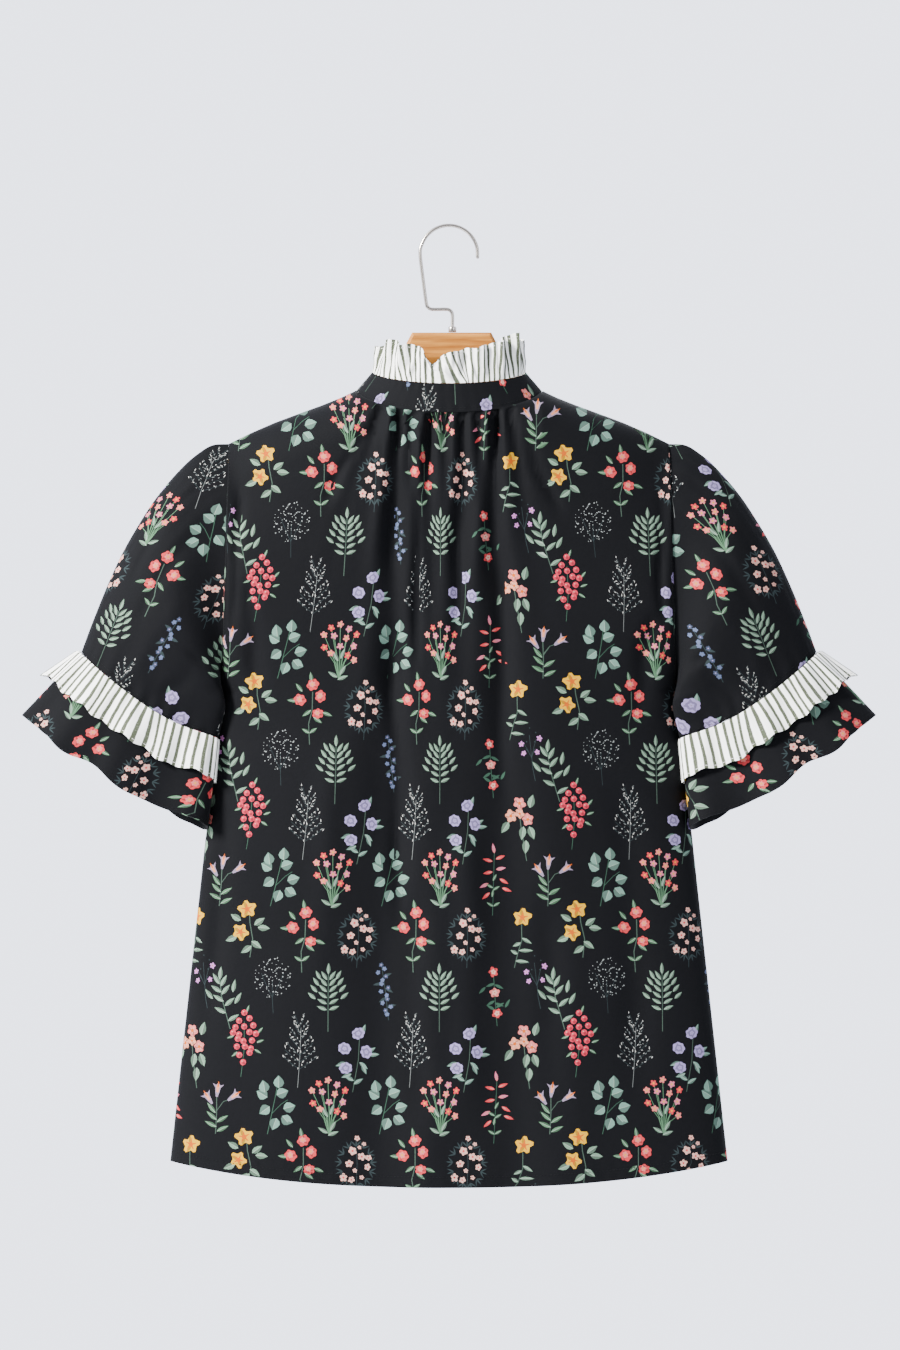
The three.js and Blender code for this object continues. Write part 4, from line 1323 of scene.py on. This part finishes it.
ARC_END = PANEL_SCALE * ARC_LENGTH[-1]
FRONT_EDGE = PANEL_SCALE * float(arc_of(-PLACKET_HALF / SHOULDER_HALF))


class BLOUSE_OT_body(bpy.types.Operator):
    """Builds the back, the two fronts and the placket"""

    bl_idname = "blouse.body"
    bl_label = "Body panels"

    def execute(self, context):
        rows = roof_rows(PANEL_LENGTH, 4.6)
        panels = [
            ("back", panel_surface(-1), (-ARC_END, ARC_END, 4.2), -1, 275, (-180, -219), 0.56, 0.70, 0.335),
            ("front_right", panel_surface(1), (FRONT_EDGE, ARC_END, 4.4), 1, 300, (-149, -219), 0.29, 0.68, 0.168),
            ("front_left", left_front_surface, (-ARC_END, -FRONT_EDGE, 4.4), 1, 300, (-168, -179), 0.29, 0.68, 0.168),
        ]
        for name, surface, span, face, reach, origin, width, length, area in panels:
            shapes = printed((-reach, -850), (reach, -110), origin, panel_transform(face))
            cut = {"flat": (width, length), "held": "hung", "rests_on": ["hanger_wood"], "area": area}
            sheet(name, surface, lines(*span), rows, face, "floral_cloth", shapes, chart=True, **cut)

        def strip(points):
            """The placket's print, from flat cloth to millimetres across and down."""
            return np.stack([points[:, 0], (PLACKET_TOP - points[:, 1]) / PLACKET_LENGTH * PANEL_LENGTH], -1)

        shapes = printed((-20, -850), (20, -200), (-163, -180), strip)
        columns = lines(SEAM - PLACKET_HALF, PLACKET_HALF - SEAM, 3.4)
        cut = {"flat": (0.0275, 0.62), "held": "laid", "rests_on": ["front_right"]}
        sheet("placket", placket_surface, columns, roof_rows(PANEL_LENGTH, 5), 1, "floral_cloth", shapes, **cut)
        return {"FINISHED"}


class BLOUSE_OT_collar(bpy.types.Operator):
    """Builds the collar band and the striped frill on it"""

    bl_idname = "blouse.collar"
    bl_label = "Collar"

    def execute(self, context):
        end = TUBE_SCALE * (math.pi + math.asin(PLACKET_HALF / NECK_HALF))
        shapes = printed((-260, -40), (260, 60), (-166, 91), lambda points: points * (0.8, 0.6))
        columns, rows = lines(-end, end, 1.6), lines(0, BAND_RISE, 1.2)
        cut = {"flat": (0.46, 0.024), "held": "hung", "rests_on": ["back", "front_left", "front_right"]}
        sheet("collar_band", band_surface, columns, rows, 1, "floral_cloth", shapes, 1, **cut)
        columns, rows = lines(-FRILL_REACH, FRILL_REACH, 0.75), lines(0, FRILL_RISE, 1.5)
        cut = {"flat": (0.42, 0.031), "held": "gathered", "rests_on": ["collar_band"], "area": 0.0105}
        sheet("collar_frill", frill_surface, columns, rows, 1, "striped_cloth", (), 1, **cut)
        return {"FINISHED"}


class BLOUSE_OT_sleeves(bpy.types.Operator):
    """Builds both sleeves with their flounces and striped cuff frills"""

    bl_idname = "blouse.sleeves"
    bl_label = "Sleeves"

    def execute(self, context):
        edge = TUBE_SCALE * math.pi
        for word, side in (("left", -1), ("right", 1)):
            own = mirrored if side < 0 else (lambda surface: surface)
            way = tube_transform(sleeve_plane, SLEEVE_LENGTH, (250, -330))
            shapes = printed((-150, -220), (300, 280), (-160 - 12 * side, 12), way)
            rests_on = ["back", f"front_{word}"]
            cut = {"flat": (0.36, 0.20), "held": "hung", "rests_on": rests_on, "area": 0.049}
            grid = lines(-edge, edge, 2.6), lines(0, SLEEVE_LENGTH, 3.2)
            sheet(f"sleeve_{word}", own(sleeve_surface), *grid, side, "floral_cloth", shapes, chart=True, **cut)
            way = tube_transform(flounce_plane, FLOUNCE_LENGTH, (290, -450))
            shapes = printed((-140, -120), (260, 180), (-120 + 20 * side, -20), way)
            cut = {"flat": (0.40, 0.078), "held": "gathered", "rests_on": [f"sleeve_{word}"], "area": 0.029}
            grid = lines(-edge, edge, 1.9), lines(0, FLOUNCE_LENGTH, 2.6)
            sheet(f"flounce_{word}", own(flounce_surface), *grid, side, "floral_cloth", shapes, chart=True, **cut)
            cut = {"flat": (0.38, 0.036), "held": "gathered", "rests_on": [f"flounce_{word}"], "area": 0.0136}
            grid = lines(-edge, edge, 1.2), lines(0, CUFF_FRILL_LENGTH, 1.8)
            sheet(f"cuff_frill_{word}", own(cuff_frill_surface), *grid, side, "striped_cloth", (), 1, **cut)
        return {"FINISHED"}


def bands(rings, count, closed=False):
    """Four-sided faces between each ring of points and the next."""
    k = np.arange(count)
    after = (k + 1) % count
    row = np.arange(rings if closed else rings - 1)[:, None] * count
    above = (row + count) % (rings * count)
    return np.stack([row + k, above + k, above + after, row + after], -1).reshape(-1, 4).tolist()


def flipped(faces):
    return [face[::-1] for face in faces]


def lathe(profile, centre, count=40):
    """A closed surface turned about an upright axis, from radius and height rows."""
    t = np.linspace(0, 2 * math.pi, count, endpoint=False)
    r, h = np.asarray(profile, float).T[..., None]
    points = np.stack([r * np.cos(t), r * np.sin(t), h + 0 * t], -1).reshape(-1, 3) + centre
    return points, flipped(bands(len(profile), count, True))


def button_mesh():
    """A round button with a raised rim, a dished middle and four holes, facing up.

    Front height = thick * (0.72 + 0.28 * rim(r)) less the holes' wells; the back is flat."""
    shares = np.array([0.12, 0.22, 0.3, 0.36, 0.42, 0.48, 0.56, 0.64, 0.72, 0.8, 0.88, 0.94, 0.98, 1.0])
    t = np.linspace(0, 2 * math.pi, 48, endpoint=False)
    r, angle = np.meshgrid(shares * BUTTON_RADIUS, t, indexing="ij")
    x, y = r * np.cos(angle), r * np.sin(angle)
    rim = bump(r / BUTTON_RADIUS - 0.82, 0.13) - 0.9 * ease((r / BUTTON_RADIUS - 0.9) / 0.1)
    height = BUTTON_THICK * (0.72 + 0.28 * rim)
    for cx, cy in (2.1 * turned(degrees)[0] for degrees in (45, 135, 225, 315)):
        height = height - BUTTON_THICK * 0.62 * (1 - ease((np.hypot(x - cx, y - cy) - 0.55) / 0.5))
    top = np.stack([x, y, height], -1).reshape(-1, 3)
    n, k = len(t), np.arange(len(t))
    rings, after, centre = len(shares) + 1, (k + 1) % len(t), len(top) + len(t)
    points = np.concatenate([top, top[-n:] * (0.96, 0.96, 0), [[0, 0, BUTTON_THICK * 0.72], [0, 0, 0]]])
    foot = (rings - 1) * n
    faces = bands(rings, n) + np.stack([np.full(n, centre), k, after], -1).tolist()
    return points, faces + np.stack([np.full(n, centre + 1), foot + after, foot + k], -1).tolist()


def crossed_threads():
    """Two pairs of short thread bars over a button's holes, each a flat six-sided rod."""
    points, faces = [], []
    t = np.linspace(0, 2 * math.pi, 6, endpoint=False)[:, None]
    rod = flipped(bands(5, 6)) + [list(range(6)), list(range(29, 23, -1))]
    for degrees in (45, 135):
        way, side = (np.append(row, 0) for row in turned(degrees))
        for shift in (-0.35, 0.35):
            ring = 0.26 * (np.cos(t) * side + np.sin(t) * np.array([0, 0, 1])) + side * shift
            faces += [[len(points) + k for k in face] for face in rod]
            for along, rise in ((-2.1, 0.25), (-1.6, 0.78), (0, 0.9), (1.6, 0.78), (2.1, 0.25)):
                points += list(ring + way * along + (0, 0, BUTTON_THICK * rise))
    return np.array(points), faces


class BLOUSE_OT_buttons(bpy.types.Operator):
    """Builds the seven buttons with their holes and thread"""

    bl_idname = "blouse.buttons"
    bl_label = "Buttons"

    def execute(self, context):
        points, faces = button_mesh()
        sewn, sewn_faces = crossed_threads()
        for number in range(1, 8):
            name = f"button_{number}"
            middle = np.mean(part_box(name), axis=0) / MM
            if number == 1:
                tilt = math.atan2(NECK_DEPTH - BAND_TOP[1], BAND_FRONT_Z - NECK_Z + FRONT_NECK[0])
            else:
                above, below = (self.front_depth(middle[2] + d) for d in (4, -4))
                tilt = math.atan2(below - above, 8)
            s, c = math.sin(tilt), math.cos(tilt)
            turn = np.array([[-1, 0, 0], [0, s, c], [0, c, -s]])
            seat = middle - turn @ np.array([0, 0, BUTTON_THICK / 2])
            make_object(f"{name}_shown", points @ turn.T + seat, faces, "button", [name])
            make_object(f"thread_{number}", sewn @ turn.T + seat, sewn_faces, "button", look="dark_thread")
        return {"FINISHED"}

    @staticmethod
    def front_depth(z):
        """Depth of the placket's face at a height, on its middle line."""
        down = (PLACKET_TOP - z) / PLACKET_LENGTH * PANEL_LENGTH
        return float(placket_surface(np.zeros(1), np.full(1, down))[0, 1])


def stitched(place, length, size):
    """A row of stitches along a line, where place(t) gives points and outward directions."""
    count = max(2, round(length / STITCH_PITCH))
    t, half = (np.arange(count) + 0.5) / count, size / 2 / length
    (start, _), (middle, out), (end, _) = (place(t + shift) for shift in (-half, 0, half))
    way = unit(end - start)
    side = unit(np.cross(way, out))
    high = [mix(tip, middle, 0.5) + out * 0.12 for tip in (start, end)]
    corners = []
    for centre, wide in zip((start - out * 0.25, *high, end - out * 0.25), (0.5, 1, 1, 0.5)):
        for angle in np.radians((0, 72, 144, 216, 288)):
            corners.append(centre + (out * np.cos(angle) + side * np.sin(angle)) * THREAD * wide)
    faces = flipped(bands(4, 5)) + [[4, 3, 2, 1, 0], [15, 16, 17, 18, 19]]
    faces = [[v + 20 * n for v in face] for n in range(count) for face in faces]
    return np.stack(corners, 1).reshape(-1, 3), faces


def row_on(surface, start, end, columns, rows, out, mirror=1):
    """A place function for stitches along a straight line in a sheet's own coordinates."""

    def place(t):
        flat = np.stack([mix(start[0], end[0], t), mix(start[1], end[1], t)], -1)
        flat = np.clip(flat, [columns[0], rows[0]], [columns[1], rows[1]])
        normal = directions(surface, flat, columns, rows) * out
        return surface(flat[:, 0], flat[:, 1]) * (mirror, 1, 1), normal * (mirror, 1, 1)

    return place


class BLOUSE_OT_stitches(bpy.types.Operator):
    """Builds the seam stitches along the hem, placket, collar, cuffs and armholes"""

    bl_idname = "blouse.stitches"
    bl_label = "Stitches"

    def execute(self, context):
        size = context.scene.blouse.stitch_length / MM
        panel = ((-ARC_END, ARC_END), (0, PANEL_LENGTH))
        placket = ((-13.6, 13.6), (0, PANEL_LENGTH))
        hem = PANEL_LENGTH * (1 - 9 / 650)
        end, side_in, tube = ARC_END - 1, ARC_END - 6, TUBE_SCALE * math.pi
        back, right, left = panel_surface(-1), panel_surface(1), left_front_surface
        rows = [
            (back, (-end, hem), (end, hem), *panel, -1, 520),
            (right, (FRONT_EDGE + 30, hem), (end, hem), *panel, 1, 250),
            (left, (-end, hem), (-30, hem), *panel, 1, 250),
        ]
        for surface, x, face in ((back, -side_in, -1), (back, side_in, -1), (left, -side_in, 1), (right, side_in, 1)):
            rows.append((surface, (x, 8), (x, 232), *panel, face, 220))
        for x in (-11.2, 11.2):
            rows.append((placket_surface, (x, 6), (x, 652), *placket, 1, 600))
        rows.append((band_surface, (-186, 1.8), (186, 1.8), (-200, 200), (0, BAND_RISE), 1, 430))
        reach = (-FRILL_REACH, FRILL_REACH)
        frill = (frill_surface, (reach[0], 28.2), (reach[1], 28.2), reach, (0, FRILL_RISE), 1, 520)
        made = {
            "dark_thread": [stitched(row_on(*row), length, size) for *row, length in rows],
            "light_thread": [stitched(row_on(*frill[:-1]), frill[-1], size)],
        }
        for side in (1, -1):
            for surface, at, deep, length, thread in (
                (flounce_surface, 73, FLOUNCE_LENGTH, 440, "dark_thread"),
                (sleeve_surface, 229, SLEEVE_LENGTH, 300, "dark_thread"),
                (cuff_frill_surface, 33.4, CUFF_FRILL_LENGTH, 400, "light_thread"),
            ):
                place = row_on(surface, (-tube, at), (tube, at), (-tube, tube), (0, deep), 1, side)
                made[thread].append(stitched(place, length, size))
        for (thread, parts), slot_name in zip(made.items(), ("floral_cloth", "striped_cloth")):
            start = np.cumsum([0] + [len(p) for p, _ in parts]).tolist()
            points = np.concatenate([p for p, _ in parts])
            faces = [[v + s for v in face] for s, (_, some) in zip(start, parts) for face in some]
            make_object(f"stitches_{thread}", points, faces, slot_name, look=thread)
        return {"FINISHED"}


def swept(line, radius, count):
    """A round rod along points in the XZ plane, with a flat start and a domed end."""
    way = unit(np.gradient(line, axis=0))
    dome = np.array([1.0, 0.92, 0.7, 0.38])
    last = line[-1] + way[-1] * radius * np.sqrt(1 - dome[:, None] ** 2)
    middle = np.vstack([np.repeat(line[:1], 4, 0), line[1:-1], last])
    size = np.concatenate([dome[::-1], np.ones(len(line) - 2), dome])[:, None] * radius
    way = np.vstack([np.repeat(way[:1], 4, 0), way[1:-1], np.repeat(way[-1:], 4, 0)])
    t = np.linspace(0, 2 * math.pi, count, endpoint=False)
    x = middle[:, :1] + size * np.cos(t) * way[:, 1:]
    z = middle[:, 1:] - size * np.cos(t) * way[:, :1]
    points = np.stack([x, size * np.sin(t), z], -1).reshape(-1, 3)
    ends = [list(range(count)), list(range(len(points) - 1, len(points) - count - 1, -1))]
    return points, bands(len(middle), count) + ends


class BLOUSE_OT_hanger(bpy.types.Operator):
    """Builds the wire hook and its ferrule and gives the wooden hanger its finish"""

    bl_idname = "blouse.hanger"
    bl_label = "Hanger and hook"

    def execute(self, context):
        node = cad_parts["hanger_wood"]
        node.data.materials.clear()
        node.data.materials.append(finish("wood"))
        bevel = node.modifiers.new("soft edges", "BEVEL")
        bevel.width = 0.0008
        bevel.segments = 2
        bevel.limit_method = "ANGLE"
        centre_z = WIRE_RADIUS - WIRE_ARC
        path = [(3, -91.6), (3, -86.6), (3, -76.6), (1.5, -73.1), (-2, -71.6), (-14.5, -71.6)]
        path += [(-18, -70.1), (-19.7, -66.6), ((-19.5 - WIRE_ARC) / 2, (-71.6 + centre_z) / 2)]
        for angle in np.radians(np.linspace(180, -6, 10)):
            path.append((WIRE_ARC * math.cos(angle), centre_z + WIRE_ARC * math.sin(angle)))
        points, faces = swept(smooth_line(path, 120), WIRE_RADIUS, 24)
        make_object("hook_wire_shown", points, faces, "hook_metal", ["hook_wire"])
        foot, top = HANGER_TOP + 0.4, HANGER_TOP + 5.4
        profile = [(2.1, foot), (3.4, foot), (3.6, foot + 0.3), (3.6, top - 1), (3.4, top - 0.4)]
        profile += [(2.9, top), (2.3, top), (2.1, top - 0.2)]
        points, faces = lathe(profile, (3, 0, 0))
        make_object("hook_ferrule_shown", points, faces, "hook_metal", ["hook_ferrule"])
        return {"FINISHED"}


class BLOUSE_OT_stage(bpy.types.Operator):
    """Builds the pale floor, the soft studio light and the camera"""

    bl_idname = "blouse.stage"
    bl_label = "Stage"

    def execute(self, context):
        scene = context.scene
        mesh = bpy.data.meshes.new("floor")
        corners = [(x, y, -1.3) for x, y in ((-1.5, -1.5), (1.5, -1.5), (1.5, 1.5), (-1.5, 1.5))]
        mesh.from_pydata(corners, [], [(0, 1, 2, 3)])
        floor = bpy.data.objects.new("floor", mesh)
        scene.collection.objects.link(floor)
        tree = Tree(bpy.data.materials.new("floor"))
        grain = tree.noise(tree.place(), 30.0, 4.0)
        pale = tree.blend(grain, rgba((0.72, 0.73, 0.76)), rgba((0.8, 0.81, 0.84)))
        mesh.materials.append(tree.finish(pale, 0.8))
        scene.world = bpy.data.worlds.new("studio")
        sky = Tree(scene.world)
        _, depth, height = sky.parts(sky.add("TexCoord"))
        share = (depth * 0.6 + height * 0.12 + 0.5).clamped()
        colour = sky.blend(share, rgba((0.3, 0.306, 0.325)), rgba((2.9, 3.04, 3.5)))
        connect(sky, sky.nodes["Background"].inputs["Color"], colour)
        lights = [
            ("key", (-3.0, -2.0, 1.4), 1.0, 860.0, (1.0, 0.99, 0.97)),
            ("fill", (2.0, -3.0, 0.3), 2.0, 40.0, (0.94, 0.97, 1.0)),
            ("rim", (0.4, 2.6, 1.2), 1.6, 16.0, (1.0, 1.0, 1.0)),
        ]
        for name, place, size, power, tint in lights:
            light = bpy.data.lights.new(name, "AREA")
            light.shape, light.size, light.energy, light.color = "DISK", size, power, tint
            lamp = bpy.data.objects.new(name, light)
            lamp.location = place
            aim = Vector((0, 0, -0.42)) - Vector(place)
            lamp.rotation_euler = aim.to_track_quat("-Z", "Y").to_euler()
            scene.collection.objects.link(lamp)
        camera = bpy.data.cameras.new("camera")
        camera.lens = 36 * 9.0 / 1.1745
        view = bpy.data.objects.new("camera", camera)
        view.location = (0.0009, -9.02, -0.3905)
        view.rotation_euler = (math.pi / 2, 0, 0)
        scene.collection.objects.link(view)
        scene.camera = view
        return {"FINISHED"}


class BLOUSE_PT_panel(bpy.types.Panel):
    """Sidebar panel with the settings and one button for each group of pieces"""

    bl_idname = "BLOUSE_PT_panel"
    bl_label = "Blouse"
    bl_space_type = "VIEW_3D"
    bl_region_type = "UI"
    bl_category = "Blouse"

    def draw(self, context):
        settings = context.scene.blouse
        for name in BlouseSettings.__annotations__:
            self.layout.prop(settings, name)
        for operator in CLASSES[1:-1]:
            self.layout.operator(operator.bl_idname)


CLASSES = (
    BlouseSettings,
    BLOUSE_OT_body,
    BLOUSE_OT_collar,
    BLOUSE_OT_sleeves,
    BLOUSE_OT_buttons,
    BLOUSE_OT_stitches,
    BLOUSE_OT_hanger,
    BLOUSE_OT_stage,
    BLOUSE_PT_panel,
)


def register():
    for cls in CLASSES:
        bpy.utils.register_class(cls)
    bpy.types.Scene.blouse = bpy.props.PointerProperty(type=BlouseSettings)


def unregister():
    del bpy.types.Scene.blouse
    for cls in reversed(CLASSES):
        bpy.utils.unregister_class(cls)


def main():
    """Builds every group of pieces."""
    register()
    bpy.ops.blouse.body()
    bpy.ops.blouse.collar()
    bpy.ops.blouse.sleeves()
    bpy.ops.blouse.buttons()
    bpy.ops.blouse.stitches()
    bpy.ops.blouse.hanger()
    bpy.ops.blouse.stage()


if __name__ == "__main__":
    main()
